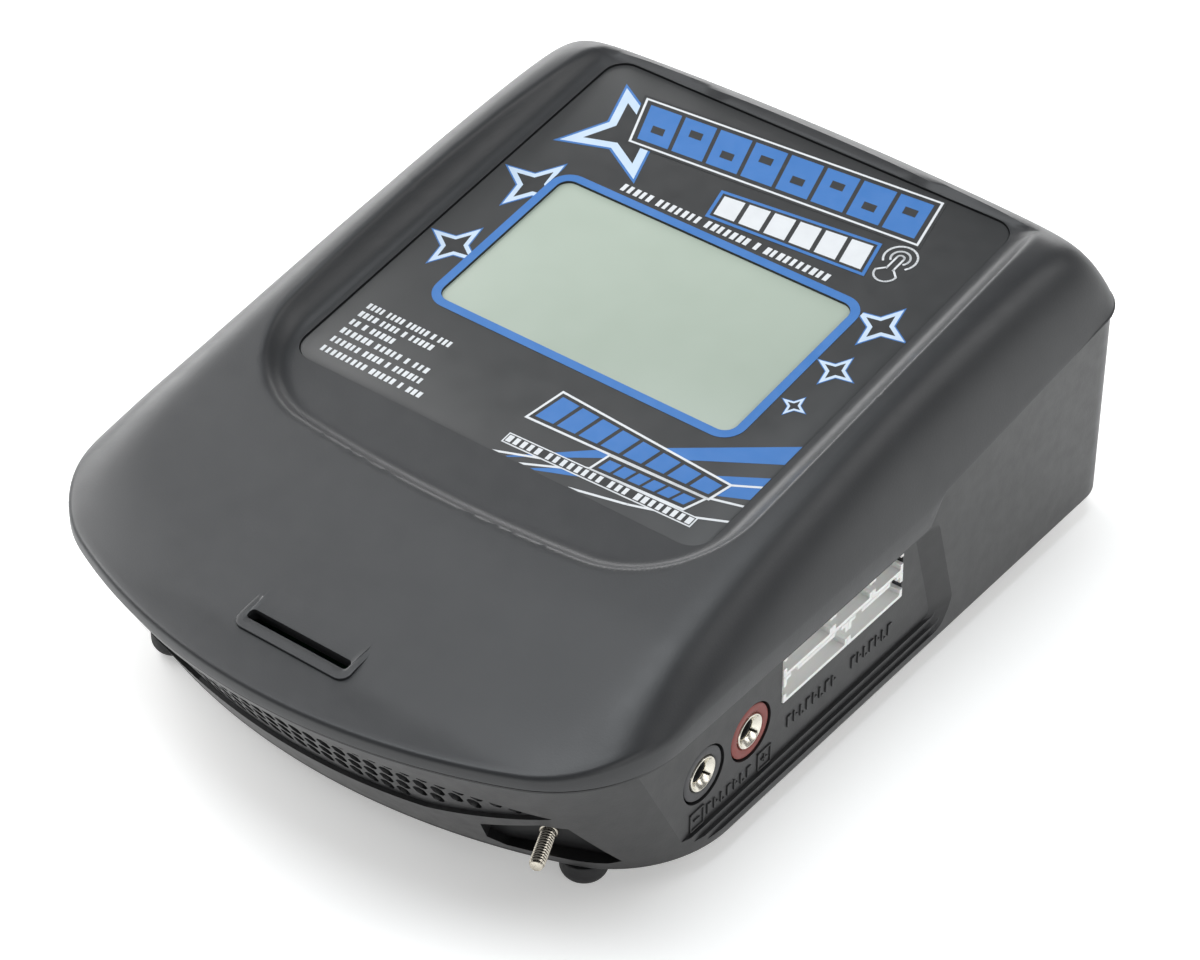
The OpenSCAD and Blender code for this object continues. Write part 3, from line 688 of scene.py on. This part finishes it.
class Print:
    """Thin ink shapes, one mesh for each ink. A higher layer covers a lower one."""

    def __init__(self):
        self.inks = {}

    def fill(self, ink, layer, points, keep=None):
        """keep is (axis, limit, sign): the part of the shape on that side stays."""
        for limits in [(0, PRINT_X, -1), (0, -PRINT_X, 1), (1, PRINT_S, -1)] + ([keep] if keep else []):
            points = clip(points, *limits)
        if len(points) < 3:
            return
        line = points if turning(points) < 0 else points[::-1]
        rings = [[(x, -s, h) for x, s in line] for h in (-0.03, 0.004 + 0.012 * layer)]
        self.inks.setdefault(ink, Shape()).loft(rings, PANEL)

    def line(self, ink, layer, points, width):
        for a, b in zip(points, points[1:]):
            d = (Vector(b) - Vector(a)).normalized() * width / 2
            side = Vector((-d.y, d.x))
            self.fill(ink, layer, [tuple(Vector(p) + k * side + e * d) for p, k, e in
                                   ((a, 1, -0.6), (b, 1, 0.6), (b, -1, 0.6), (a, -1, -0.6))])

    def done(self):
        for ink, shape in self.inks.items():
            piece("print_" + ink, shape, "panel_film", extra=ink)


def spark(x, s, r, turn):
    """Four-pointed star."""
    points = []
    for k in range(8):
        a = math.radians(turn - 45 * k)
        size = r if k % 2 == 0 else r * 0.4
        points.append((x + size * math.cos(a), s + size * math.sin(a)))
    return points


def across(corners, u, v):
    """Point inside a four-cornered band; u runs along it and v from its upper to its lower edge."""
    (a, b, c, d) = (Vector(p) for p in corners)
    return tuple(a.lerp(b, u).lerp(d.lerp(c, u), v))


def cells(corners, edges, v0=0.0, v1=1.0):
    """Slanted blocks along a band, one for each (start, end) pair."""
    return [[across(corners, u0, v0), across(corners, u1, v0),
             across(corners, u1, v1), across(corners, u0, v1)]
            for u0, u1 in edges]


def even_cells(count, gap):
    step = (1 + gap) / count
    return [(k * step, k * step + step - gap) for k in range(count)]


def letter_cells(length, words):
    """Block edges, as fractions of a line, that stand for words with the given numbers of letters."""
    edges, at = [], 0.0
    for word in words:
        for _ in range(word):
            w = LETTER * rng.uniform(0.5, 0.72)
            edges.append((at / length, (at + w) / length))
            at += LETTER
        at += LETTER * 0.6
    full = max(e for _, e in edges)
    return [(a / full, b / full) for a, b in edges]


def small_print(sheet, ink, layer, corners, words):
    length = (Vector(corners[1]) - Vector(corners[0])).length
    for block in cells(corners, letter_cells(length, words)):
        sheet.fill(ink, layer, block)


def star_print(sheet):
    left, right = (0, -LCD_W / 2 - FRAME_W, -1), (0, LCD_W / 2 + FRAME_W, 1)
    stars = [(-31.8, 16.9, 14.4, 50, 1.9, None), (-38.4, 39.2, 8.2, 12, 1.15, left),
             (-40.2, 61.3, 6.8, 12, 0.95, left),
             (41.2, 36, 6.4, 10, 0.95, right), (41, 50.2, 4.6, 10, 0.7, None), (40, 61.8, 3, 10, 0.5, None)]
    for x, s, r, turn, width, keep in stars:
        star = spark(x, s, r, turn)
        sheet.fill("ink_blue", 0, grow(star, 0.16 * width), keep)
        sheet.fill("ink_pale_blue", 1, grow(star, -0.1 * width), keep)
        sheet.fill("ink_black", 2, grow(star, -width), keep)


def title_print(sheet):
    """Two rows of slanted blocks and a line of small print above the display."""
    band = [(-33.4, 7.9), (30.5, 2.8), (32.6, 12.7), (-29.6, 17.5)]
    for ink, layer, out in (("ink_black", 3, 2.1), ("ink_white", 4, 1.5), ("ink_black", 5, 1.0)):
        sheet.fill(ink, layer, grow(band, out))
    for k, block in enumerate(cells(band, even_cells(8, 0.014))):
        sheet.fill("ink_blue", 6, block)
        slot = cells(block, [(0.3, 0.7)], 0.28 if k % 2 else 0.52, 0.48 if k % 2 else 0.72)[0]
        sheet.fill("ink_black", 7, slot)
    band = [(-4.9, 22.1), (27.4, 18.5), (29, 25.2), (-3.7, 27.4)]
    for ink, layer, out in (("ink_blue", 3, 1.3), ("ink_black", 4, 0.6)):
        sheet.fill(ink, layer, grow(band, out))
    for block in cells(band, even_cells(6, 0.03)):
        sheet.fill("ink_white", 5, block)
    line = [(-23.3, 29.4), (25.4, 29.4), (25.4, 31.4), (-23.3, 31.4)]
    small_print(sheet, "ink_white", 3, line, [5, 7, 7, 1, 10])


def touch_symbol(sheet):
    """Two rings round a fingertip."""
    x, s = 33.6, 18.6
    for r in (1.9, 3.3):
        ring = arc(x, s, r, 140, 400, 20)
        sheet.line("ink_white", 4, ring, 0.42)
    finger = [(x - 0.75, s + 3.6)] + arc(x, s, 0.75, 180, 360, 8) + [(x + 0.75, s + 3.6)]
    sheet.line("ink_white", 4, finger, 0.4)
    palm = arc(x, s + 4.9, 2.3, 0, 180, 14)
    sheet.line("ink_white", 4, [(x + 0.75, s + 3.4)] + palm + [(x - 0.75, s + 3.4)], 0.4)


def display_frame(sheet):
    """Line round the display window, made of four-sided steps so that it stays open in the middle."""
    outer = rounded(LCD_W + 2 * FRAME_W, LCD_H + 2 * FRAME_W, 2.8 + FRAME_W, 8)
    inner = rounded(LCD_W - 0.1, LCD_H - 0.1, 2.75, 8)
    for i in range(len(outer)):
        j = (i + 1) % len(outer)
        points = [(x, LCD_AT - y) for x, y in (outer[i], outer[j], inner[j], inner[i])]
        sheet.fill("ink_blue", 3, points)


def data_lines(sheet):
    """Six lines of small print at the lower left."""
    lines = [(82.6, -23.2, [4, 4, 5, 1, 3]), (85.1, -25.5, [4, 4, 1, 5]), (87.7, -32.8, [2, 1, 5]),
             (90.4, -22.2, [6, 5, 1, 3]), (93.2, -21.6, [6, 4, 1, 6]), (96.1, -19.2, [9, 5, 1, 3])]
    for s, end, words in lines:
        small_print(sheet, "ink_white", 1, [(-43.3, s), (end, s), (end, s + 1.5), (-43.3, s + 1.5)], words)


def stripe_print(sheet):
    """Blue stripes and white lines that run off the right edge, and three rows of blocks over them."""
    sheet.fill("ink_blue", 0, [(2, 102), (15.7, 91.2), (25.3, 84.3), (48.1, 69.1),
                               (48.1, 74.6), (28.7, 85.4), (17.7, 92.2)])
    sheet.fill("ink_blue", 0, [(8, 101.6), (17.6, 95.3), (39.5, 83.5), (48.1, 78.7),
                               (47.8, 85.3), (42.5, 87.6), (26.7, 94.2)])
    sheet.line("ink_white", 1, [(-1.3, 101.6), (9.9, 97.5), (27.6, 92.1), (48.2, 81.4)], 0.5)
    sheet.line("ink_white", 1, [(5, 101.7), (18, 95.7), (33.1, 91.2), (48.3, 87.2)], 0.5)
    sheet.line("ink_white", 1, [(14.7, 101.6), (29.8, 98.3), (39.2, 95.4), (48.2, 91.6)], 0.5)
    upper = [(3.2, 82.9), (41.2, 85.3), (40.4, 88.4), (1.9, 89.6)]
    lower = [(20.4, 91.2), (39.2, 90.5), (38.2, 92.9), (19.8, 93.9)]
    for band, count, gap in ((upper, 8, 0.022), (lower, 6, 0.035)):
        for ink, layer, out in (("ink_white", 3, 1.25), ("ink_black", 4, 0.75)):
            sheet.fill(ink, layer, grow(band, out))
        for block in cells(band, even_cells(count, gap)):
            sheet.fill("ink_blue", 5, block)
    band = [(1.2, 95.9), (42, 94.6), (42, 96.3), (1.2, 97.6)]
    sheet.fill("ink_white", 3, grow(band, 0.5))
    sheet.fill("ink_black", 4, grow(band, 0.22))
    small_print(sheet, "ink_white", 5, band, [5, 8, 3, 8])


def panel_print():
    sheet = Print()
    star_print(sheet)
    title_print(sheet)
    touch_symbol(sheet)
    display_frame(sheet)
    data_lines(sheet)
    stripe_print(sheet)
    sheet.done()


panel()
panel_print()


# ---------- raised marks on the right side ----------
MARK_H = 0.28  # height of the marks over the side panel


def mark(shape, y0, y1, z0, z1):
    """Raised block with bevelled edges on the recessed side panel."""
    at = x_axis(SIDE_X, (y0 + y1) / 2, (z0 + z1) / 2)
    corner = min(0.12, (y1 - y0) / 3, (z1 - z0) / 3)
    shape.prism(rounded(z1 - z0, y1 - y0, corner, 2), -0.4, MARK_H, at, edge=0.08)


def mark_row(shape, y0, y1, z0, z1, pitch=1.9):
    """Short upright and level blocks in place of lettering."""
    count = round((y1 - y0) / pitch)
    for k in range(count):
        y = y0 + (y1 - y0) * k / count
        mark(shape, y, y + 0.42, z0, z1)
        z = (z1, (z0 + z1) / 2 + 0.2, z0 + 0.42)[k % 3]
        mark(shape, y + 0.42, y + pitch * 0.66, z - 0.42, z)


def mark_box(shape, y0, y1, z0, z1, crossed):
    """Frame with a minus or plus sign."""
    line, y, z = 0.36, (y0 + y1) / 2, (z0 + z1) / 2
    sides = ((y0, y1, z0, z0 + line), (y0, y1, z1 - line, z1),
             (y0, y0 + line, z0, z1), (y1 - line, y1, z0, z1))
    for a, b, c, d in sides:
        mark(shape, a, b, c, d)
    mark(shape, y - 0.9, y + 0.9, z - line / 2, z + line / 2)
    if crossed:
        mark(shape, y - line / 2, y + line / 2, z - 0.9, z + 0.9)


def side_marks():
    shape = Shape()
    mark_row(shape, -19.5, -3.7, 15, 17.6)
    mark_row(shape, 0.5, 14, 15, 17.6)
    mark_row(shape, -43.4, -29.6, 11.6, 14)
    mark_box(shape, -48.4, -44.3, 10.6, 14.9, False)
    mark_box(shape, -28.4, -24.3, 10.6, 14.9, True)
    piece("side_marks", shape, "case_plastic")


# ---------- side connectors ----------
SLIT_TURN = -39  # where the spring slit of each jack points


def collar(name, slot):
    profile = [(3.62, 0.1), (6.7, 0.1), (6.7, 2.5), (5.58, 2.5), (5.58, 5.5), (5.48, 5.7), (5.25, 5.8),
               (4.05, 5.8), (3.9, 5.74), (3.72, 5.6), (3.62, 5.4)]
    at = x_axis(SIDE_X - 6, JACKS[name], JACK_Z)
    shape = Shape().lathe(profile + profile[:1], at, 72, caps=(False, False))
    piece("jack_collar_" + name, shape, slot, stands_for=["collar_" + name], weld=0.002)


def sleeve(name):
    at = x_axis(SIDE_X - 20, JACKS[name], JACK_Z)
    funnel = [(3.26, 19.94), (3.14, 19.86), (2.12, 18.98), (2.02, 18.8), (1.98, 18.6)]
    profile = [(3.4, 0.02), (3.53, 0.2), (3.53, 19.76), (3.44, 19.92)] + funnel + [(1.98, 3.0)]
    slit = Shape().block((-0.24, 1.7, 16.5), (0.24, 2.95, 21), at @ turn_z(math.radians(SLIT_TURN)))
    metal = cut(Shape().lathe(profile, at, 72).mesh("sleeve"), slit)
    place_piece("jack_sleeve_" + name, metal, "plated_metal", stands_for=["sleeve_" + name])
    # painted shade: a dark epoxy-black lining and a dark disc at the end of the bore stand for the shade deep
    # in the hole
    bore_shade_profile = [(1.97, 18.5), (1.9, 18.44), (1.86, 18.2), (1.86, 3.3), (1.97, 3.1)]
    bore_shade_tube = Shape().lathe(bore_shade_profile + bore_shade_profile[:1], at, 48, caps=(False, False))
    bore_shade_tube.lathe([(1.9, 3.02), (1.9, 3.3)], at, 48)
    piece("jack_bore_painted_shade_" + name, bore_shade_tube, "epoxy_black", weld=0.002)
    leaf = Shape().block((-0.26, 1.5, 12), (0.26, 1.84, 17.4), at @ turn_z(math.radians(SLIT_TURN)), edge=0.1)
    piece("jack_leaf_" + name, leaf, "stud_steel")


HEADERS = ["socket_7pin", "socket_6pin", "socket_5pin", "socket_4pin", "socket_3pin"]
PIN_PITCH = 2.5


def pin_count(length):
    return round((length - 4.85) / PIN_PITCH) + 1


def header(node_name):
    """Shrouded socket for one balance plug, open to the right, with keyways in its roof and ends."""
    lo, hi = box_mm(node_name)
    size, mid = hi - lo, (hi + lo) / 2
    at = x_axis(lo.x, mid.y, mid.z)
    body = Shape().prism(rounded(size.z - 0.02, size.y - 0.02, 0.2, 3), 0, size.x - 0.02, at, edge=0.14)
    cavity = Shape().prism(rounded(4.35, size.y - 1.8, 0.15, 2), 2.4, 12, at)
    keys, ends = Shape(), Shape()
    for y in (lo.y + 2.2, hi.y - 4.2):
        keys.block((lo.x + 4.4, y, mid.z), (hi.x + 1, y + 2, hi.z + 1))
    ends.block((lo.x + 6.4, lo.y - 1, lo.z + 2), (hi.x + 1, hi.y + 1, lo.z + 3.8))
    pin_holes = Shape()
    for i in range(pin_count(size.y)):
        y = lo.y + 2.05 + PIN_PITCH * i
        pin_holes.block((lo.x - 1, y, lo.z + 2.6), (lo.x + 9, y + 0.8, lo.z + 3.4))
    mesh = cut(body.mesh("header"), cavity, keys, ends, pin_holes)
    place_piece(node_name + "_shroud", mesh, "socket_nylon", stands_for=[node_name])


def header_pins():
    """Square pins with bevelled tips inside the balance sockets."""
    shape = Shape()
    for node_name in HEADERS:
        lo, hi = box_mm(node_name)
        for i in range(pin_count(hi.y - lo.y)):
            at = x_axis(SIDE_X - 12, lo.y + 2.45 + PIN_PITCH * i, lo.z + 3)
            shape.prism(rounded(0.64, 0.64, 0.05, 1), 0.02, 7.68, at, edge=0.16)
    piece("header_pins", shape, "plated_metal", stands_for=["balance_pins"])


def side_connectors():
    collar("negative", "collar_black")
    collar("positive", "collar_red")
    for name in JACKS:
        sleeve(name)
    for node_name in HEADERS:
        header(node_name)
    header_pins()


# ---------- front stud, feet and screws ----------
STUD_LEN = 10.0
PITCH = 0.65  # near the 0.68 measured in the photo; the real thread size is uncertain


def thread_rings(z0, z1, r, depth, n=32, steps=8):
    """Rings of a right-hand thread that starts on a full shank and ends in a chamfered tip."""
    rings, count = [], round((z1 - z0) / PITCH * steps)
    for k in range(count + 1):
        z = z0 + (z1 - z0) * k / count
        fade = min(1.0, (z - z0) / (1.2 * PITCH))
        tip = max(0.0, 1 - (z1 - z) / PITCH)
        ring = []
        for i in range(n):
            turn = (z / PITCH - i / n) % 1.0
            cut_in = depth * max(tip, fade * min(1.0, 1.25 * abs(2 * turn - 1)))
            a = 2 * math.pi * i / n
            ring.append(((r - cut_in) * math.cos(a), (r - cut_in) * math.sin(a), z))
        rings.append(ring)
    return rings


def front_stud():
    shape = Shape()
    shape.lathe([(1.33, -8.38), (1.33, 0.3)], STUD)
    shape.lathe([(1.5, 0.24), (1.7, 0.32), (1.76, 0.42), (1.76, 0.84), (1.68, 0.96), (1.3, 1.0)], STUD)
    shape.loft(thread_rings(0.9, STUD_LEN - 0.4, 1.48, 0.3), STUD)
    shape.lathe([(1.17, STUD_LEN - 1), (1.17, STUD_LEN - 0.38), (1.1, STUD_LEN - 0.32)], STUD)
    piece("threaded_stud", shape, "stud_steel", stands_for=["front_stud"], sharp=60)
    # painted shade: a dark core that shows in the grooves stands for the shade between the thread turns
    core = Shape().lathe([(1.2, 0.95), (1.27, 1.0), (1.27, STUD_LEN - 1.1), (1.2, STUD_LEN - 0.95)], STUD, 32)
    piece("thread_groove_shade", core, "stud_steel", extra="thread_groove_painted_shade")
    nut = Shape().prism(arc(0, 0, 3.08, 0, 360, 6)[:-1], -7.88, -5.52, STUD, edge=0.25)
    hole = Shape().lathe([(1.7, -9), (1.42, -7.5), (1.42, -5.9), (1.7, -4.9)], STUD)
    place_piece("hex_nut", cut(nut.mesh("nut"), hole), "stud_steel", stands_for=["stud_nut"])


def rubber_feet():
    shape = Shape()
    r = box_mm("feet")[1].x - FEET[1][0]
    for x, y in FEET:
        round_edge = [(r - 2.6 + 2.6 * math.sin(math.radians(a)), 2.62 - 2.6 * math.cos(math.radians(a)))
                      for a in range(0, 91, 10)]
        profile = [(r - 3.4, 0.3), (r - 3.1, 0.1)] + round_edge
        profile += [(r, FLOOR_Z - 0.2), (r - 0.12, FLOOR_Z - 0.04)]
        profile += [(2.38, FLOOR_Z - 0.04), (2.38, FLOOR_Z + 0.88)]
        shape.lathe(profile, Matrix.Translation((x, y, 0)), 56)
    piece("rubber_feet", shape, "foot_rubber", stands_for=["feet"])


def screw(at, head_r, head_h, shank_r, length):
    """Hexagon socket screw, head first along +Z."""
    profile = [(head_r - 0.3, 0.0), (head_r - 0.08, 0.1), (head_r - 0.02, 0.3), (head_r - 0.02, head_h),
               (shank_r - 0.02, head_h), (shank_r - 0.02, length - 0.5), (shank_r - 0.4, length)]
    socket = Shape().prism(arc(0, 0, 1.2, 0, 360, 6)[:-1], -1, 0.98, at)
    return cut(Shape().lathe(profile, at, 40).mesh("screw"), socket)


def join(name, meshes, slot, **settings):
    bm = bmesh.new()
    for mesh in meshes:
        bm.from_mesh(mesh)
    joined = bpy.data.meshes.new(name)
    bm.to_mesh(joined)
    bm.free()
    return place_piece(name, joined, slot, **settings)


def screws():
    case = [screw(Matrix.Translation((x, y, 5.42)), 2.7, 1.68, 1.5, 17.9) for x, y in POSTS]
    join("bottom_screws", case, "screw_steel", stands_for=["case_screws"])
    fan = [screw(y_axis(FAN_AT.x + x, 88.18, FAN_AT.z + z), 2.8, 1.52, 1.5, 11.9)
           for x in (-16, 16) for z in (-16, 16)]
    join("fan_guard_screws", fan, "screw_steel", stands_for=["fan_screws"])


def light_bar():
    lo, hi = box_mm("status_light_bar")
    shape = Shape().prism(rounded(hi.x - lo.x - 0.04, hi.y - lo.y - 0.04, 1.5), lo.z + 0.02, hi.z - 0.02,
                          Matrix.Translation((0, SLOT_Y, 0)), edge=0.4)
    for k in range(9):
        x = (k - 4) * 2.4
        shape.block((x - 0.2, SLOT_Y - 1.1, hi.z - 0.6), (x + 0.2, SLOT_Y + 1.1, hi.z - 0.001))
    piece("status_lens", shape, "light_bar", stands_for=["status_light_bar"])


# ---------- fan ----------
def fan_place():
    return y_axis(FAN_AT.x, 80, FAN_AT.z)


def fan_frame():
    at = fan_place()
    body = Shape().prism(rounded(39.96, 39.96, 2.2), -3.58, 6.38, at, edge=0.3).mesh("frame")
    bore = Shape().lathe([(19.6, -4), (19.02, -3), (19.02, 5.6), (19.7, 7)], at, 96)
    body = cut(body, bore)
    arms = Shape()
    for a in range(45, 360, 90):
        arms.block((8, -1.18, 4.62), (19.6, 1.18, 6.36), at @ turn_z(math.radians(a)), edge=0.25)
    hub = Shape().lathe([(8.6, 4.62), (8.78, 4.8), (8.78, 6.1), (8.5, 6.38)], at, 64)
    body = combine(combine(body, arms.mesh("arms"), "UNION"), hub.mesh("hub"), "UNION")
    holes = Shape()
    for x in (-16, 16):
        for y in (-16, 16):
            holes.lathe([(1.7, -6), (1.7, 8)], at @ Matrix.Translation((x, y, 0)), 24)
    body = cut(body, holes, Shape().lathe([(1.05, 4), (1.05, 7)], at, 32))
    place_piece("fan_housing", body, "fan_plastic", stands_for=["fan_frame"])


def blade_ring(r, chord, pitch_deg, thick, bow):
    """Section of a blade at radius r: a thin curved wing seen from outside."""
    c, s = math.cos(math.radians(pitch_deg)), math.sin(math.radians(pitch_deg))
    top, under = [], []
    for k in range(9):
        t = k / 8
        along, arch = (t - 0.5) * chord, bow * 4 * t * (1 - t)
        half = thick / 2 * (0.25 + 1.5 * math.sqrt(t * (1 - t)))
        for side, line in ((1, top), (-1, under)):
            across_z = arch + side * half
            line.append((along * c - across_z * s, along * s + across_z * c))
    ring = []
    for u, z in top + under[::-1]:
        a = u / r
        ring.append((r * math.cos(a), r * math.sin(a), z + 0.4))
    return ring


def fan_rotor():
    lo, hi = box_mm("fan_rotor")
    reach = (hi.x - lo.x) / 2
    shape = Shape()
    hub_r = 8.46
    shape.lathe([(7.2, -2.98), (7.9, -2.9), (8.34, -2.6), (hub_r, -2.2), (hub_r, 3.7), (8.2, 3.98)], None, 72)
    shape.lathe([(3.4, -2.99), (3.2, -2.9), (3.2, -2.4)], None, 40)
    shape.lathe([(0.96, 3.6), (0.96, 6.0), (0.8, 6.18)], None, 32)
    blades = 7
    for i in range(blades):
        rings = []
        for k in range(9):
            t = k / 8
            r = hub_r - 0.6 + (min(18.15, reach - 0.05) - hub_r + 0.6) * t
            rings.append(blade_ring(r, 5.9 + 0.5 * t, 42 - 8 * t, 1.0 - 0.25 * t, 0.35))
        shape.loft(rings, turn_z(2 * math.pi * i / blades))
    spun = Shape().add(shape.points, shape.faces, fan_place())
    piece("fan_wheel", spun, "fan_plastic", body="fan", stands_for=["fan_rotor"])


# ---------- inlets on the back ----------
MAINS_PIN_X = 3.3  # how far each mains pin stands from the middle


def mains_inlet():
    lo, hi = box_mm("mains_inlet")
    mid = (lo + hi) / 2
    mirrored = Matrix.Diagonal((1, 1, -1, 1)) @ Matrix.Translation((0, 0, lo.y - hi.y))
    body = Shape().prism(rounded(hi.x - lo.x - 0.04, hi.z - lo.z - 0.04, 1.2), 0.02, hi.y - lo.y - 0.02,
                         y_axis(mid.x, hi.y, mid.z) @ mirrored, edge=0.35)
    mouth = [(4.0, -2), (3.65, 0.4), (3.65, 12.2)]
    mouths = [Shape().lathe(mouth, y_axis(mid.x + dx, hi.y, mid.z), 48) for dx in (-MAINS_PIN_X, MAINS_PIN_X)]
    place_piece("mains_socket", cut(body.mesh("inlet"), *mouths), "inlet_plastic", stands_for=["mains_inlet"])
    pins = Shape()
    for dx in (-MAINS_PIN_X, MAINS_PIN_X):
        pins.lathe([(0.5, 0.02), (0.9, 0.16), (1.13, 0.6), (1.13, 8.98)], y_axis(mid.x + dx, 86, mid.z), 32)
    piece("mains_contacts", pins, "plated_metal", stands_for=["mains_pins"])


def dc_inlet():
    dc = centre_mm("dc_inlet")
    at = y_axis(dc.x, box_mm("dc_inlet")[1].y, dc.z)
    profile = [(2.92, 0.5), (3.2, 0.04), (4.7, 0.02), (4.97, 0.3), (4.97, 13.98), (2.92, 13.98)]
    ring = Shape().lathe(profile + profile[:1], at, 64, caps=(False, False))
    plug = Shape().lathe([(2.95, 8.9), (2.95, 13.96)], at, 64)
    ring.add(plug.points, plug.faces)
    piece("dc_socket", ring, "inlet_plastic", stands_for=["dc_inlet"], weld=0.002)
    pin_at = y_axis(dc.x, box_mm("dc_pin")[1].y, dc.z)
    pin = Shape().lathe([(0.4, 0.02), (0.8, 0.16), (0.98, 0.5), (0.98, 7.98)], pin_at, 32)
    piece("dc_contact", pin, "plated_metal", stands_for=["dc_pin"])


side_marks()
side_connectors()
front_stud()
rubber_feet()
screws()
light_bar()
fan_frame()
fan_rotor()
mains_inlet()
dc_inlet()


# ---------- floor, light and camera ----------
def area_light(name, at, target, size, power, colour=(1, 1, 1)):
    data = bpy.data.lights.new(name, "AREA")
    data.shape, data.size, data.size_y = "RECTANGLE", size[0], size[1]
    data.energy, data.color = power, colour
    obj = bpy.data.objects.new(name, data)
    bpy.context.scene.collection.objects.link(obj)
    obj.location = at
    obj.rotation_euler = (Vector(target) - Vector(at)).to_track_quat("-Z", "Y").to_euler()


def studio():
    plane = bpy.data.meshes.new("floor")
    plane.from_pydata([(-3, -3, 0), (3, -3, 0), (3, 3, 0), (-3, 3, 0)], [], [(0, 1, 2, 3)])
    floor = bpy.data.objects.new("floor", plane)
    bpy.context.scene.collection.objects.link(floor)
    white = finish("floor_white", (0.88, 0.88, 0.875), (0.9, 0.9, 0.895), (0.6, 0.7), 60, 2, 0, 0,
                   emission_color=(1, 1, 0.99, 1), emission_strength=0.37)
    plane.materials.append(white)
    world = bpy.data.worlds.new("studio")
    world.use_nodes = True
    sky = world.node_tree
    where = sky.nodes.new("ShaderNodeTexCoord").outputs["Generated"]
    height = node(sky, "ShaderNodeSeparateXYZ", {"Vector": where})
    sky.nodes["Background"].inputs["Color"].default_value = (0.98, 0.99, 1, 1)
    strength = spread(sky, height.outputs["Z"], 0.22, 0.15, 0.2, 0.7)
    sky.links.new(strength, sky.nodes["Background"].inputs["Strength"])
    bpy.context.scene.world = world
    area_light("left", (-1.25, 0.0, 0.75), (0, 0, 0.03), (1.3, 0.8), 19)
    area_light("overhead", (-0.12, 0.0, 1.4), (0, 0, 0), (0.9, 0.9), 11.5, (0.93, 0.97, 1))
    area_light("back", (-0.9, 1.05, 0.33), (0, 0, 0.04), (1.9, 0.5), 12)
    area_light("rear_right", (0.9, 0.9, 1.0), (0, 0, 0.03), (0.8, 0.8), 5)
    area_light("side", (1.3, -0.3, 0.55), (0, 0, 0.03), (1.0, 0.5), 3)
    bpy.context.scene.view_settings.view_transform = "Standard"


def camera():
    data = bpy.data.cameras.new("camera")
    data.sensor_width, data.lens = 36, 118.5
    obj = bpy.data.objects.new("camera", data)
    bpy.context.scene.collection.objects.link(obj)
    obj.location = Vector((359.3, -451.86, 496.58)) * MM
    obj.rotation_euler = (math.radians(90 - 39.1), 0, math.radians(37.95))
    data.clip_start, data.clip_end = 0.05, 20
    bpy.context.scene.camera = obj


studio()
camera()
